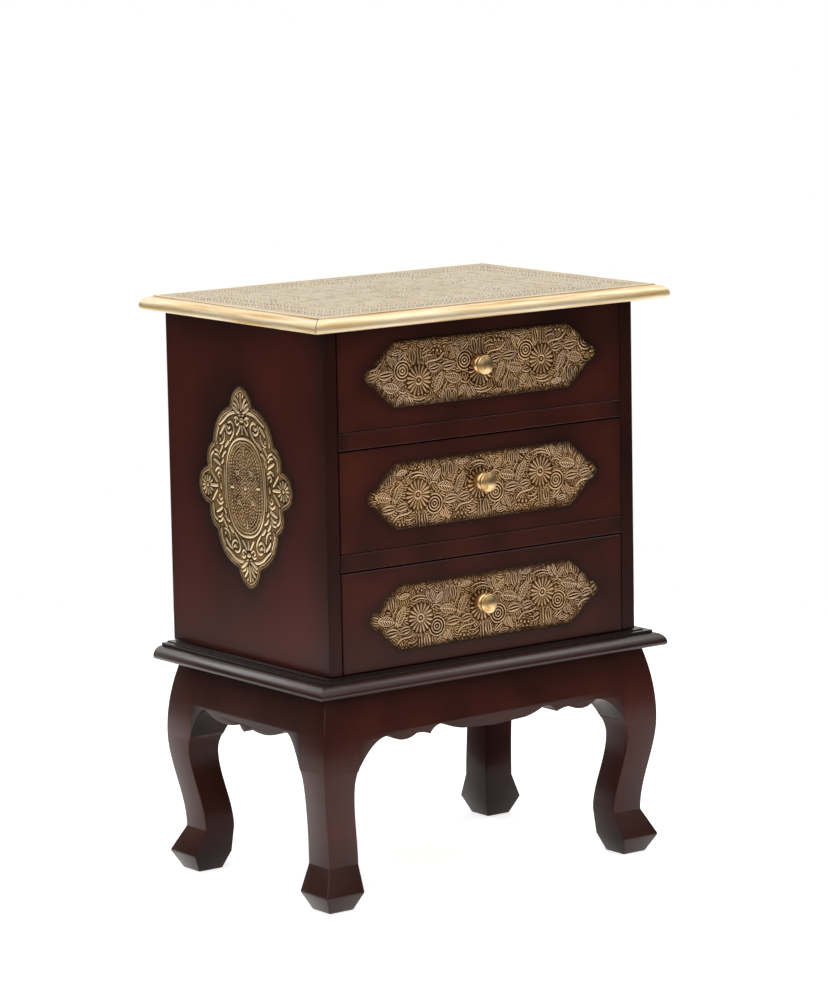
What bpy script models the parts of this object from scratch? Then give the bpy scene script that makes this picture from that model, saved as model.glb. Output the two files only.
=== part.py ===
"""Three-drawer nightstand on sawn cabriole legs, with brass facings on its top, sides and drawers.

Metres, +Z up. The front faces -Y. The origin is on the floor, under the middle of the top.
"""

import math

import bmesh
import bpy
from mathutils import Matrix, Vector

# Fits
SEAT_GAP = 0.0003  # between faces that are glued, nailed or rest on each other
CUT_PAST = 0.002  # how far a cutter runs past the face it opens
CURVE_STEPS = 6  # straight pieces in each curved stretch
ROUND_SIDES = 24  # sides of a turned piece
SHANK_SIDES = 12  # sides of a screw or of its hole
SMOOTH_ANGLE = math.radians(35)  # edges flatter than this are shaded smooth

# Top: a moulded board clad in sheet brass
TOP_WIDTH = 0.456
TOP_DEPTH = 0.318
TOP_SIDE_OVERHANG = 0.029  # from the nose in to the carcass
TOP_FRONT_OVERHANG = 0.029
TOP_BACK_OVERHANG = 0.006
TOP_BOARD_THICKNESS = 0.014
SHEET_THICKNESS = 0.0008
NOSE_OUT = 0.011
NOSE_FILLET = 0.0013
NOSE_UNDER_R = 0.0024
CLAD_MARGIN = 0.004  # flat lip of the edge cladding, round the embossed sheet

# Carcass
CARCASS_HEIGHT = 0.3523
PANEL_THICKNESS = 0.016
BACK_THICKNESS = 0.006
BACK_REBATE = 0.008  # how far the back is let into each side panel
RAIL_HEIGHT = 0.018
RAIL_DEPTH = 0.050
RAIL_STUB = 0.006  # stub tenon into the side panel
RAIL_STUB_SETBACK = 0.010
RUNNER_WIDTH = 0.012
RUNNER_HEIGHT = 0.014
CLEAT_SIZE = 0.014

# Leg: bandsawn from two faces, so its section is a square that leans out and in
LEG_HEIGHT = 0.2242
ANKLE_SIDE_INSET = 0.0231  # from the top's nose in to the ankle's outer face
ANKLE_FRONT_INSET = 0.0292
POST_INSET = 0.0309  # from the ankle's outer face in to the post's inner face
POST_TOP_OUT = 0.0015  # how far each point stands out past the ankle's outer face
KNEE_OUT = 0.0130
KNEE_DROP = 0.0762  # below the top of the leg
HOLLOW_DROP = 0.0962
HOLLOW_INSET = 0.0262
ANKLE_WIDTH = 0.0368
CREASE_HEIGHT = 0.046
TOE_HEIGHT = 0.019
TOE_OUT = 0.0132
HEEL_INSET = 0.0344
FOOT_OUT = 0.003
FOOT_WIDTH = 0.0298
SHIN_STEPS = 10

# Apron: bows out with the knees, with a scalloped lower edge
APRON_INSET = 0.012  # from the ankle's outer face in to the apron's flat inner face
APRON_LEVELS = 6  # straight pieces in the bow
EAR_WIDTH = 0.0385  # the bracket at each end, which runs down beside the leg
SIDE_EAR_WIDTH = 0.027
EAR_TOP_DROP = 0.0477
SIDE_EAR_TOP_DROP = 0.0432
LOBE_DROP = 0.0532
PEAK_DROP = 0.0447
CUSP_DROP = 0.0502
CENTRE_DROP = 0.0552
CENTRE_HALF = 0.040  # half-widths of the front scallop, from its middle out
PEAK_HALF = 0.067
STEP_HALF = 0.083
CUSP_HALF = 0.100
RISE_SAG = 0.0012  # how far each stretch of the edge sags below a straight line
FALL_SAG = -0.0022
STEP_SAG = -0.0010
LOBE_SAG = 0.0055
SIDE_CUSP_HALF = 0.008
SIDE_CUSP_DROP = 0.0487
SIDE_CENTRE_DROP = 0.0550
SIDE_CENTRE_SAG = 0.0008
SIDE_LOBE_SAG = 0.0062
EAR_TOP_REACH = 0.48  # shares of the ear's width and drop that shape its round edge
EAR_FOOT_REACH = 0.15
EAR_FOOT_RISE = 0.30

# Mortise and tenon of apron and leg
TENON_LENGTH = 0.016
TENON_THICKNESS = 0.008
TENON_INSET = 0.004  # middle of the tenon, in from the ankle's outer face
TENON_TOP_DROP = 0.010
TENON_HEIGHT = 0.030

# Corner block, glued across each inside corner of the base
BLOCK_NEAR = 0.0525  # along the aprons, from the ankle's outer face
BLOCK_FAR = 0.072
BLOCK_HEIGHT = 0.030

# Waist board: moulded on the front and the sides, square at the back
WAIST_THICKNESS = 0.0175
WAIST_SIDE_LEDGE = 0.0155  # from the carcass face out to the foot of the nose
WAIST_FRONT_LEDGE = 0.0105
WAIST_NOSE_OUT = 0.0113
WAIST_FILLET = 0.0028
WAIST_BEAD_IN = 0.007  # a second fillet, in from the foot of the nose
WAIST_BEAD = 0.0012
WAIST_UNDER_R = 0.003

# Drawers
DRAWER_COUNT = 3
RAIL_NAMES = ("upper", "lower")  # the rails under drawers 1 and 2
DRAWER_SIDE_GAP = 0.0012
DRAWER_TOP_GAP = 0.0015
DRAWER_FOOT_GAP = 0.0008
FRONT_THICKNESS = 0.016
BOX_SIDE_THICKNESS = 0.010
BOX_SIDE_HEIGHT = 0.078
BOX_LAP = 0.009  # how far the sides lap into the front
BOX_BACK_THICKNESS = 0.009
BOX_BACK_SETBACK = 0.008
DADO_DEPTH = 0.004
BOTTOM_THICKNESS = 0.004
BOTTOM_RISE = 0.008
GROOVE_DEPTH = 0.005

# Brass facings
PLATE_LENGTH = 0.300
PLATE_HEIGHT = 0.069
PLATE_TIP = 0.0121  # length of the round tip at each end
PLATE_TIP_RISE = 0.0105  # half its height, where it meets the slants
PLATE_CORNER = 0.0376  # from the tip back to the straight edge
PLATE_TIP_BULGE = 0.0024
PLATE_SLANT_BULGE = 0.0016
PLATE_RISES = (0.0015, 0.0005, -0.0012)  # above the middle of drawers 1 to 3, nailed on by eye
MEDALLION_WIDTH = 0.171
MEDALLION_HEIGHT = 0.212
MEDALLION_RISE = 0.002  # of its middle, above the middle of the side panel
MEDALLION_TILT = math.radians(3.3)  # nailed on by eye, a little askew
ROSETTE_NOTCH = (0.068, 0.0205)  # quarter outline of the medallion, from its middle
SCROLL_NOTCH = (0.0562, 0.0465)
PALMETTE_NOTCH = (0.0215, 0.0845)
ROSETTE_BULGE = 0.0050
SCROLL_BULGE = 0.0052
SHOULDER_BULGE = 0.0080
PALMETTE_BULGE = 0.0046

# Knob and the screw that holds it from inside the drawer
KNOB_SHIFTS = (-0.0072, -0.0058, -0.0072)  # from the middle of drawers 1 to 3, drilled by eye
KNOB_RISES = (0.0033, 0.0054, 0.0026)
KNOB_FOOT_R = 0.0066
KNOB_FOOT_HEIGHT = 0.0010
KNOB_BEAD_R = 0.0102
KNOB_BEAD_LENGTH = 0.0092
KNOB_GROOVE_R = 0.0078
KNOB_GROOVE_WIDTH = 0.0014
KNOB_HEAD_R = 0.0110
KNOB_HEAD_LENGTH = 0.0046
KNOB_HEAD_ROUND = 0.0010  # at the edges of the head
KNOB_DOME = 0.0014
KNOB_BEAD_FULLNESS = 3.0  # 2 is an ellipse, and larger is squarer
KNOB_BORE_DEPTH = 0.009
SCREW_R = 0.002
SCREW_HOLE_R = SCREW_R + SEAT_GAP
SCREW_HEAD_R = 0.004
SCREW_HEAD_HEIGHT = 0.002
SCREW_HEAD_STEPS = 3
KNOB_SCREW_BITE = 0.007  # into the knob
TOP_SCREW_LENGTH = 0.022
TOP_SCREW_INSET = 0.050  # from the ends of the cleats

# Places worked out from the sizes above
CARCASS_WIDTH = TOP_WIDTH - 2 * TOP_SIDE_OVERHANG
CARCASS_FRONT_Y = -TOP_DEPTH / 2 + TOP_FRONT_OVERHANG
CARCASS_BACK_Y = TOP_DEPTH / 2 - TOP_BACK_OVERHANG
ANKLE_SPAN_X = TOP_WIDTH - 2 * ANKLE_SIDE_INSET  # across the outer faces of the ankles
ANKLE_SPAN_Y = TOP_DEPTH - 2 * ANKLE_FRONT_INSET
WAIST_FOOT_Z = LEG_HEIGHT + SEAT_GAP
WAIST_TOP_Z = WAIST_FOOT_Z + WAIST_THICKNESS
CARCASS_FOOT_Z = WAIST_TOP_Z + SEAT_GAP
CARCASS_TOP_Z = CARCASS_FOOT_Z + CARCASS_HEIGHT
TOP_FOOT_Z = CARCASS_TOP_Z + SEAT_GAP
TOP_BOARD_Z = TOP_FOOT_Z + TOP_BOARD_THICKNESS
SHEET_FOOT_Z = TOP_BOARD_Z + SEAT_GAP
OVERALL_HEIGHT = SHEET_FOOT_Z + SHEET_THICKNESS
KNEE_HEIGHT = LEG_HEIGHT - KNEE_DROP
HOLLOW_HEIGHT = LEG_HEIGHT - HOLLOW_DROP
PANEL_INNER_X = CARCASS_WIDTH / 2 - PANEL_THICKNESS
BACK_FRONT_Y = CARCASS_BACK_Y - BACK_THICKNESS
TENON_MIDDLE_Z = LEG_HEIGHT - TENON_TOP_DROP - TENON_HEIGHT / 2
FRONT_WIDTH = 2 * (PANEL_INNER_X - DRAWER_SIDE_GAP)
DRAWER_SPACE = (CARCASS_HEIGHT + SEAT_GAP - (DRAWER_COUNT - 1) * RAIL_HEIGHT) / DRAWER_COUNT
FRONT_HEIGHT = DRAWER_SPACE - DRAWER_TOP_GAP - DRAWER_FOOT_GAP
DRAWER_LENGTH = BACK_FRONT_Y - SEAT_GAP - CARCASS_FRONT_Y
CORNERS = {
    "front_left": (-1, -1),
    "front_right": (1, -1),
    "back_left": (-1, 1),
    "back_right": (1, 1),
}


def clear_scene():
    """Removes whatever the scene holds."""
    for obj in list(bpy.data.objects):
        bpy.data.objects.remove(obj, do_unlink=True)


def make_material(name, colour, roughness, metallic=0.0):
    """A Principled material of one linear colour."""
    made = bpy.data.materials.new(name)
    made.use_nodes = True
    shader = made.node_tree.nodes["Principled BSDF"]
    shader.inputs["Base Color"].default_value = (*colour, 1.0)
    shader.inputs["Roughness"].default_value = roughness
    shader.inputs["Metallic"].default_value = metallic
    return made


def add_object(name, bm, finish=None, parent=None, smooth=False):
    """Turns a bmesh into a named object with its faces pointing out."""
    bmesh.ops.remove_doubles(bm, verts=bm.verts, dist=1e-7)
    bmesh.ops.recalc_face_normals(bm, faces=bm.faces)
    mesh = bpy.data.meshes.new(name)
    bm.to_mesh(mesh)
    bm.free()
    if smooth:
        mesh.shade_smooth()
        mesh.set_sharp_from_angle(angle=SMOOTH_ANGLE)
    obj = bpy.data.objects.new(name, mesh)
    bpy.context.scene.collection.objects.link(obj)
    obj.parent = parent
    if finish:
        mesh.materials.append(finish)
    return obj


def add_empty(name, location):
    """An empty that carries the pieces of one sub-assembly."""
    empty = bpy.data.objects.new(name, None)
    empty.location = location
    bpy.context.scene.collection.objects.link(empty)
    return empty


def box_bmesh(low, high):
    """A bmesh box between two corners."""
    low, high = Vector(low), Vector(high)
    size = high - low
    place = Matrix.Translation((low + high) / 2) @ Matrix.Diagonal((*size, 1.0))
    bm = bmesh.new()
    bmesh.ops.create_cube(bm, size=1.0, matrix=place)
    return bm


def loft_bmesh(rings):
    """A closed bmesh through level rectangles, each (x0, x1, y0, y1, z), from the bottom up."""
    bm = bmesh.new()
    x0, x1, y0, y1, z = rings[0]
    corners = [bm.verts.new((x, y, z)) for x, y in ((x0, y0), (x1, y0), (x1, y1), (x0, y1))]
    face = bm.faces.new(corners)
    first = face
    for x0, x1, y0, y1, z in rings[1:]:
        middle = face.calc_center_median()
        grown = bmesh.ops.extrude_face_region(bm, geom=[face], use_keep_orig=True)
        if face is not first:
            bmesh.ops.delete(bm, geom=[face], context="FACES_ONLY")
        face = next(item for item in grown["geom"] if isinstance(item, bmesh.types.BMFace))
        for vert in face.verts:
            right, back = vert.co.x > middle.x, vert.co.y > middle.y
            vert.co = (x1 if right else x0, y1 if back else y0, z)
    return bm


def prism_bmesh(outline, height):
    """A closed bmesh that stands up from an outline of (x, y) points on the ground plane."""
    bm = bmesh.new()
    face = bm.faces.new([bm.verts.new((x, y, 0.0)) for x, y in outline])
    grown = bmesh.ops.extrude_face_region(bm, geom=[face], use_keep_orig=True)
    lifted = [item for item in grown["geom"] if isinstance(item, bmesh.types.BMVert)]
    bmesh.ops.translate(bm, verts=lifted, vec=(0.0, 0.0, height))
    return bm


def turned_bmesh(profile, sides):
    """A closed bmesh turned about Z from (radius, z) points that start and end on the axis."""
    bm = bmesh.new()
    verts = [bm.verts.new((r, 0.0, z)) for r, z in profile]
    edges = [bm.edges.new(pair) for pair in zip(verts, verts[1:])]
    bmesh.ops.spin(
        bm,
        geom=verts + edges,
        cent=(0.0, 0.0, 0.0),
        axis=(0.0, 0.0, 1.0),
        angle=2 * math.pi,
        steps=sides,
        use_merge=True,
    )
    return bm


def cylinder_bmesh(radius, length, sides):
    """A closed cylinder along Z, from the ground plane up."""
    return turned_bmesh([(0.0, 0.0), (radius, 0.0), (radius, length), (0.0, length)], sides)


def use_boolean(obj, bm, operation):
    """Cuts a helper shape from an object, or joins it on. The helper shares the object's parent."""
    helper = add_object(f"{obj.name}.helper{len(obj.modifiers) + 1}", bm, parent=obj.parent)
    helper.hide_render = True
    helper.display_type = "WIRE"
    step = obj.modifiers.new(operation.lower(), "BOOLEAN")
    step.operation = operation
    step.object = helper
    return helper


def arc(start, end, bulge, steps=CURVE_STEPS):
    """Points from start up to, but not including, end. A bulge stands out to the right of the way."""
    start, end = Vector(start), Vector(end)
    way = end - start
    side = Vector((way.y, -way.x)).normalized()
    points = []
    for i in range(steps):
        t = i / steps
        points.append(tuple(start + way * t + side * (4 * bulge * t * (1 - t))))
    return points


def bezier(a, b, c, d, steps=CURVE_STEPS):
    """Points on a cubic from a up to, but not including, d."""
    a, b, c, d = (Vector(p) for p in (a, b, c, d))
    points = []
    for i in range(steps):
        t = i / steps
        u = 1 - t
        points.append(tuple(a * u**3 + b * 3 * u * u * t + c * 3 * u * t * t + d * t**3))
    return points


def ease(t):
    """A smooth step from 0 to 1."""
    return t * t * (3 - 2 * t)


def leg_out(z):
    """How far the leg's outer faces, and the aprons, stand out past the ankle at a height."""
    if z >= KNEE_HEIGHT:
        share = (z - KNEE_HEIGHT) / KNEE_DROP
        return KNEE_OUT - (KNEE_OUT - POST_TOP_OUT) * share**2
    if z >= CREASE_HEIGHT:
        return KNEE_OUT * ease((z - CREASE_HEIGHT) / (KNEE_HEIGHT - CREASE_HEIGHT))
    if z >= TOE_HEIGHT:
        return TOE_OUT * (CREASE_HEIGHT - z) / (CREASE_HEIGHT - TOE_HEIGHT)
    return FOOT_OUT + (TOE_OUT - FOOT_OUT) * z / TOE_HEIGHT


def leg_in(z):
    """How far in from the ankle's outer face the leg's inner faces lie at a height."""
    if z >= KNEE_HEIGHT:
        return POST_INSET
    if z >= HOLLOW_HEIGHT:
        share = (z - HOLLOW_HEIGHT) / (KNEE_HEIGHT - HOLLOW_HEIGHT)
        return HOLLOW_INSET + (POST_INSET - HOLLOW_INSET) * share**2
    if z >= CREASE_HEIGHT:
        share = (z - CREASE_HEIGHT) / (HOLLOW_HEIGHT - CREASE_HEIGHT)
        return ANKLE_WIDTH + (HOLLOW_INSET - ANKLE_WIDTH) * ease(share)
    if z >= TOE_HEIGHT:
        share = (z - TOE_HEIGHT) / (CREASE_HEIGHT - TOE_HEIGHT)
        return HEEL_INSET + (ANKLE_WIDTH - HEEL_INSET) * share
    return (FOOT_WIDTH - FOOT_OUT) + (HEEL_INSET - FOOT_WIDTH + FOOT_OUT) * z / TOE_HEIGHT


def leg_levels():
    """Heights at which the leg's section is set."""
    shin = (KNEE_HEIGHT - CREASE_HEIGHT) / SHIN_STEPS
    knee = KNEE_DROP / APRON_LEVELS
    levels = [0.0, TOE_HEIGHT]
    levels += [CREASE_HEIGHT + shin * i for i in range(SHIN_STEPS)]
    levels += [KNEE_HEIGHT + knee * i for i in range(APRON_LEVELS + 1)]
    return levels


def span(a, b):
    """Two numbers, the smaller first."""
    return (a, b) if a < b else (b, a)


def add_leg(corner, finish):
    """One leg, with a mortise for each of the two aprons that meet in it."""
    sx, sy = CORNERS[corner]
    ax, ay = ANKLE_SPAN_X / 2, ANKLE_SPAN_Y / 2
    rings = []
    for z in leg_levels():
        near, far = leg_in(z), leg_out(z)
        across = span(sx * (ax - near), sx * (ax + far))
        along = span(sy * (ay - near), sy * (ay + far))
        rings.append((*across, *along, z))
    leg = add_object(f"leg_{corner}", loft_bmesh(rings), finish)
    half = TENON_THICKNESS / 2 + SEAT_GAP
    low_z = TENON_MIDDLE_Z - TENON_HEIGHT / 2 - SEAT_GAP
    high_z = TENON_MIDDLE_Z + TENON_HEIGHT / 2 + SEAT_GAP
    mouth, floor = POST_INSET + CUT_PAST, POST_INSET - TENON_LENGTH - SEAT_GAP
    for turned in (False, True):
        # The mortise runs along X for the front or back apron, and along Y for a side apron.
        x = (mouth, floor) if not turned else (TENON_INSET + half, TENON_INSET - half)
        y = (mouth, floor) if turned else (TENON_INSET + half, TENON_INSET - half)
        x = span(sx * (ax - x[0]), sx * (ax - x[1]))
        y = span(sy * (ay - y[0]), sy * (ay - y[1]))
        use_boolean(leg, box_bmesh((x[0], y[0], low_z), (x[1], y[1], high_z)), "DIFFERENCE")


def front_scallop(end):
    """Half of the front apron's lower edge, from its middle to the foot of its ear, as (x, z)."""
    top = LEG_HEIGHT
    ear = (end - EAR_WIDTH, top - EAR_TOP_DROP)
    points = arc((0.0, top - CENTRE_DROP), (CENTRE_HALF, top - LOBE_DROP), 0.0, 1)
    points += arc((CENTRE_HALF, top - LOBE_DROP), (PEAK_HALF, top - PEAK_DROP), RISE_SAG)
    points += arc((PEAK_HALF, top - PEAK_DROP), (STEP_HALF, top - LOBE_DROP), FALL_SAG)
    points += arc((STEP_HALF, top - LOBE_DROP), (CUSP_HALF, top - CUSP_DROP), STEP_SAG)
    points += arc((CUSP_HALF, top - CUSP_DROP), ear, LOBE_SAG)
    return points + ear_curve(ear, end)


def side_scallop(end):
    """Half of a side apron's lower edge, from its middle to the foot of its ear, as (x, z)."""
    top = LEG_HEIGHT
    ear = (end - SIDE_EAR_WIDTH, top - SIDE_EAR_TOP_DROP)
    cusp = (SIDE_CUSP_HALF, top - SIDE_CUSP_DROP)
    points = arc((0.0, top - SIDE_CENTRE_DROP), cusp, SIDE_CENTRE_SAG)
    points += arc(cusp, ear, SIDE_LOBE_SAG)
    return points + ear_curve(ear, end)


def ear_curve(ear, end):
    """The ear's round edge, which carries on into the hollow of the leg."""
    width, drop = end - ear[0], ear[1] - KNEE_HEIGHT
    near = (ear[0] + width * EAR_TOP_REACH, ear[1])
    far = (end - width * EAR_FOOT_REACH, KNEE_HEIGHT + drop * EAR_FOOT_RISE)
    return bezier(ear, near, far, (end, KNEE_HEIGHT), CURVE_STEPS + 2)


def add_apron(name, half_scallop, half_span, ankle, turn, finish):
    """One apron: a scalloped outline, bowed out with the knees, with a tenon at each end."""
    end = half_span - POST_INSET - SEAT_GAP
    right = half_scallop(end) + [(end, KNEE_HEIGHT)]
    left = [(-x, z) for x, z in reversed(right[1:])]
    outline = [(-end, LEG_HEIGHT), *left, *right, (end, LEG_HEIGHT)]
    bm = bmesh.new()
    bm.faces.new([bm.verts.new((x, 0.0, z)) for x, z in outline])
    for i in range(1, APRON_LEVELS):
        level = KNEE_HEIGHT + KNEE_DROP * i / APRON_LEVELS
        everything = bm.verts[:] + bm.edges[:] + bm.faces[:]
        bmesh.ops.bisect_plane(bm, geom=everything, plane_co=(0, 0, level), plane_no=(0, 0, 1))
    bmesh.ops.triangulate(bm, faces=bm.faces)
    face_side = bm.verts[:]
    grown = bmesh.ops.extrude_face_region(bm, geom=bm.faces[:], use_keep_orig=True)
    for vert in face_side:
        vert.co.y = -ankle - leg_out(vert.co.z)
    for item in grown["geom"]:
        if isinstance(item, bmesh.types.BMVert):
            item.co.y = -ankle + APRON_INSET
    apron = add_object(name, bm, finish)
    middle, half = -ankle + TENON_INSET, TENON_THICKNESS / 2
    low_z, high_z = TENON_MIDDLE_Z - TENON_HEIGHT / 2, TENON_MIDDLE_Z + TENON_HEIGHT / 2
    for side in (-1, 1):
        x = span(side * (end - CUT_PAST), side * (end + TENON_LENGTH))
        tenon = box_bmesh((x[0], middle - half, low_z), (x[1], middle + half, high_z))
        use_boolean(apron, tenon, "UNION").rotation_euler.z = turn
    apron.rotation_euler.z = turn


def add_corner_block(corner, finish):
    """A block glued behind a leg, across the inner faces of its two aprons."""
    sx, sy = CORNERS[corner]
    wall = APRON_INSET + SEAT_GAP
    plan = [(BLOCK_FAR, wall), (BLOCK_NEAR, wall), (wall, BLOCK_NEAR), (wall, BLOCK_FAR)]
    outline = [(sx * (ANKLE_SPAN_X / 2 - u), sy * (ANKLE_SPAN_Y / 2 - v)) for u, v in plan]
    block = add_object(f"corner_block_{corner}", prism_bmesh(outline, BLOCK_HEIGHT), finish)
    block.location.z = LEG_HEIGHT - BLOCK_HEIGHT


def add_base(wood, plain_wood):
    """Legs, aprons and corner blocks."""
    for corner in CORNERS:
        add_leg(corner, wood)
        add_corner_block(corner, plain_wood)
    half_x, half_y = ANKLE_SPAN_X / 2, ANKLE_SPAN_Y / 2
    add_apron("apron_front", front_scallop, half_x, half_y, 0.0, wood)
    add_apron("apron_back", front_scallop, half_x, half_y, math.pi, wood)
    add_apron("apron_left", side_scallop, half_y, half_x, -math.pi / 2, wood)
    add_apron("apron_right", side_scallop, half_y, half_x, math.pi / 2, wood)


def add_waist_board(wood):
    """The board between base and carcass: a round nose under two small fillets, on three sides."""
    foot_x = CARCASS_WIDTH / 2 + WAIST_SIDE_LEDGE
    foot_y = CARCASS_FRONT_Y - WAIST_FRONT_LEDGE
    nose_height = WAIST_THICKNESS - WAIST_FILLET - WAIST_BEAD - WAIST_UNDER_R
    profile = []
    for i in range(CURVE_STEPS // 2 + 1):
        angle = math.pi / 2 * i / (CURVE_STEPS // 2)
        out = WAIST_NOSE_OUT - WAIST_UNDER_R * (1 - math.sin(angle))
        profile.append((out, WAIST_UNDER_R * (1 - math.cos(angle))))
    for i in range(1, CURVE_STEPS + 1):
        angle = math.pi / 2 * i / CURVE_STEPS
        profile.append((WAIST_NOSE_OUT * math.cos(angle), WAIST_UNDER_R + nose_height * math.sin(angle)))
    bead_z = WAIST_THICKNESS - WAIST_BEAD
    profile += [(0.0, bead_z), (-WAIST_BEAD_IN, bead_z), (-WAIST_BEAD_IN, WAIST_THICKNESS)]
    rings = [(-foot_x - out, foot_x + out, foot_y - out, CARCASS_BACK_Y, z) for out, z in profile]
    board = add_object("waist_board", loft_bmesh(rings), wood)
    board.location.z = WAIST_FOOT_Z


def drawer_foot_z(number):
    """Height of the surface that a drawer runs on. Drawer 1 is the top one."""
    below = DRAWER_COUNT - number
    return WAIST_TOP_Z + below * (DRAWER_SPACE + RAIL_HEIGHT)


def add_side_panels(wood):
    """Two side panels, housed for the rails and rebated for the back."""
    for side, name in ((-1, "side_panel_left"), (1, "side_panel_right")):
        inner, outer = side * PANEL_INNER_X, side * CARCASS_WIDTH / 2
        x = span(inner, outer)
        low, high = (x[0], CARCASS_FRONT_Y, CARCASS_FOOT_Z), (x[1], CARCASS_BACK_Y, CARCASS_TOP_Z)
        panel = add_object(name, box_bmesh(low, high), wood)
        for number in range(1, DRAWER_COUNT):
            top = drawer_foot_z(number)
            x = span(inner - side * CUT_PAST, inner + side * (RAIL_STUB + SEAT_GAP))
            low = (x[0], CARCASS_FRONT_Y + RAIL_STUB_SETBACK - SEAT_GAP, top - RAIL_HEIGHT - SEAT_GAP)
            high = (x[1], CARCASS_FRONT_Y + RAIL_DEPTH + SEAT_GAP, top + SEAT_GAP)
            use_boolean(panel, box_bmesh(low, high), "DIFFERENCE")
        x = span(inner - side * CUT_PAST, inner + side * (BACK_REBATE + SEAT_GAP))
        low = (x[0], BACK_FRONT_Y - SEAT_GAP, CARCASS_FOOT_Z - CUT_PAST)
        high = (x[1], CARCASS_BACK_Y + CUT_PAST, CARCASS_TOP_Z + CUT_PAST)
        use_boolean(panel, box_bmesh(low, high), "DIFFERENCE")


def add_back_panel(plain_wood):
    """The thin back, let into the side panels."""
    half = PANEL_INNER_X + BACK_REBATE
    low, high = (-half, BACK_FRONT_Y, CARCASS_FOOT_Z), (half, CARCASS_BACK_Y, CARCASS_TOP_Z)
    add_object("back_panel", box_bmesh(low, high), plain_wood)


def add_rails(wood, plain_wood):
    """A rail under each upper drawer, and behind it a runner on each side panel."""
    for number, level in enumerate(RAIL_NAMES, start=1):
        top = drawer_foot_z(number)
        half = PANEL_INNER_X - SEAT_GAP
        low = (-half, CARCASS_FRONT_Y, top - RAIL_HEIGHT)
        high = (half, CARCASS_FRONT_Y + RAIL_DEPTH, top)
        rail = add_object(f"drawer_rail_{level}", box_bmesh(low, high), wood)
        for side in (-1, 1):
            x = span(side * (half - CUT_PAST), side * (PANEL_INNER_X + RAIL_STUB))
            low = (x[0], CARCASS_FRONT_Y + RAIL_STUB_SETBACK, top - RAIL_HEIGHT)
            high = (x[1], CARCASS_FRONT_Y + RAIL_DEPTH, top)
            use_boolean(rail, box_bmesh(low, high), "UNION")
            x = span(side * half, side * (half - RUNNER_WIDTH))
            low = (x[0], CARCASS_FRONT_Y + RAIL_DEPTH + SEAT_GAP, top - RUNNER_HEIGHT)
            high = (x[1], BACK_FRONT_Y - SEAT_GAP, top)
            side_name = "left" if side < 0 else "right"
            add_object(f"runner_{level}_{side_name}", box_bmesh(low, high), plain_wood)


def top_screw_places():
    """Where the top is screwed on, through the cleats: name to (x, y)."""
    front, back = CARCASS_FRONT_Y + TOP_SCREW_INSET, BACK_FRONT_Y - TOP_SCREW_INSET
    across = PANEL_INNER_X - SEAT_GAP - CLEAT_SIZE / 2
    return {name: (sx * across, front if sy < 0 else back) for name, (sx, sy) in CORNERS.items()}


def add_cleats(plain_wood, steel):
    """A cleat along the top of each side panel, screwed up into the top."""
    foot = CARCASS_TOP_Z - CLEAT_SIZE
    places = top_screw_places()
    for side, side_name in ((-1, "left"), (1, "right")):
        x = span(side * (PANEL_INNER_X - SEAT_GAP), side * (PANEL_INNER_X - SEAT_GAP - CLEAT_SIZE))
        low = (x[0], CARCASS_FRONT_Y + FRONT_THICKNESS + CUT_PAST, foot)
        high = (x[1], BACK_FRONT_Y - SEAT_GAP, CARCASS_TOP_Z)
        cleat = add_object(f"top_cleat_{side_name}", box_bmesh(low, high), plain_wood)
        for corner in ("front", "back"):
            x, y = places[f"{corner}_{side_name}"]
            hole = cylinder_bmesh(SCREW_HOLE_R, CLEAT_SIZE + 2 * CUT_PAST, SHANK_SIDES)
            bmesh.ops.translate(hole, verts=hole.verts, vec=(x, y, foot - CUT_PAST))
            use_boolean(cleat, hole, "DIFFERENCE")
            screw = add_object(f"top_screw_{corner}_{side_name}", screw_bmesh(TOP_SCREW_LENGTH), steel)
            screw.location = (x, y, foot - SEAT_GAP)


def screw_bmesh(length):
    """A round-head screw: its shank runs up from the ground plane, and its head lies below."""
    profile = []
    for i in range(SCREW_HEAD_STEPS):
        angle = math.pi / 2 * i / SCREW_HEAD_STEPS
        profile.append((SCREW_HEAD_R * math.sin(angle), -SCREW_HEAD_HEIGHT * math.cos(angle)))
    profile += [(SCREW_HEAD_R, 0.0), (SCREW_R, 0.0), (SCREW_R, length), (0.0, length)]
    return turned_bmesh(profile, SHANK_SIDES)


def nose_path(inset):
    """The top's edge in section, from its flat lip down to its underside, as (out, z).

    The path lies an inset under the brass surface: 0 is the brass, and larger insets lie in the wood.
    """
    brass_top = TOP_BOARD_THICKNESS + SEAT_GAP + SHEET_THICKNESS
    top = brass_top - inset
    nose_height = brass_top - NOSE_FILLET - NOSE_UNDER_R
    path = [(-CLAD_MARGIN, top), (-inset, top)]
    for i in range(CURVE_STEPS + 3):
        angle = math.pi / 2 * (1 - i / (CURVE_STEPS + 2))
        out = (NOSE_OUT - inset) * math.cos(angle)
        path.append((out, NOSE_UNDER_R + (nose_height - inset) * math.sin(angle)))
    for i in range(1, CURVE_STEPS // 2 + 1):
        angle = math.pi / 2 * i / (CURVE_STEPS // 2)
        out = NOSE_OUT - NOSE_UNDER_R + (NOSE_UNDER_R - inset) * math.cos(angle)
        path.append((out, NOSE_UNDER_R - (NOSE_UNDER_R - inset) * math.sin(angle)))
    return path


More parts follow.
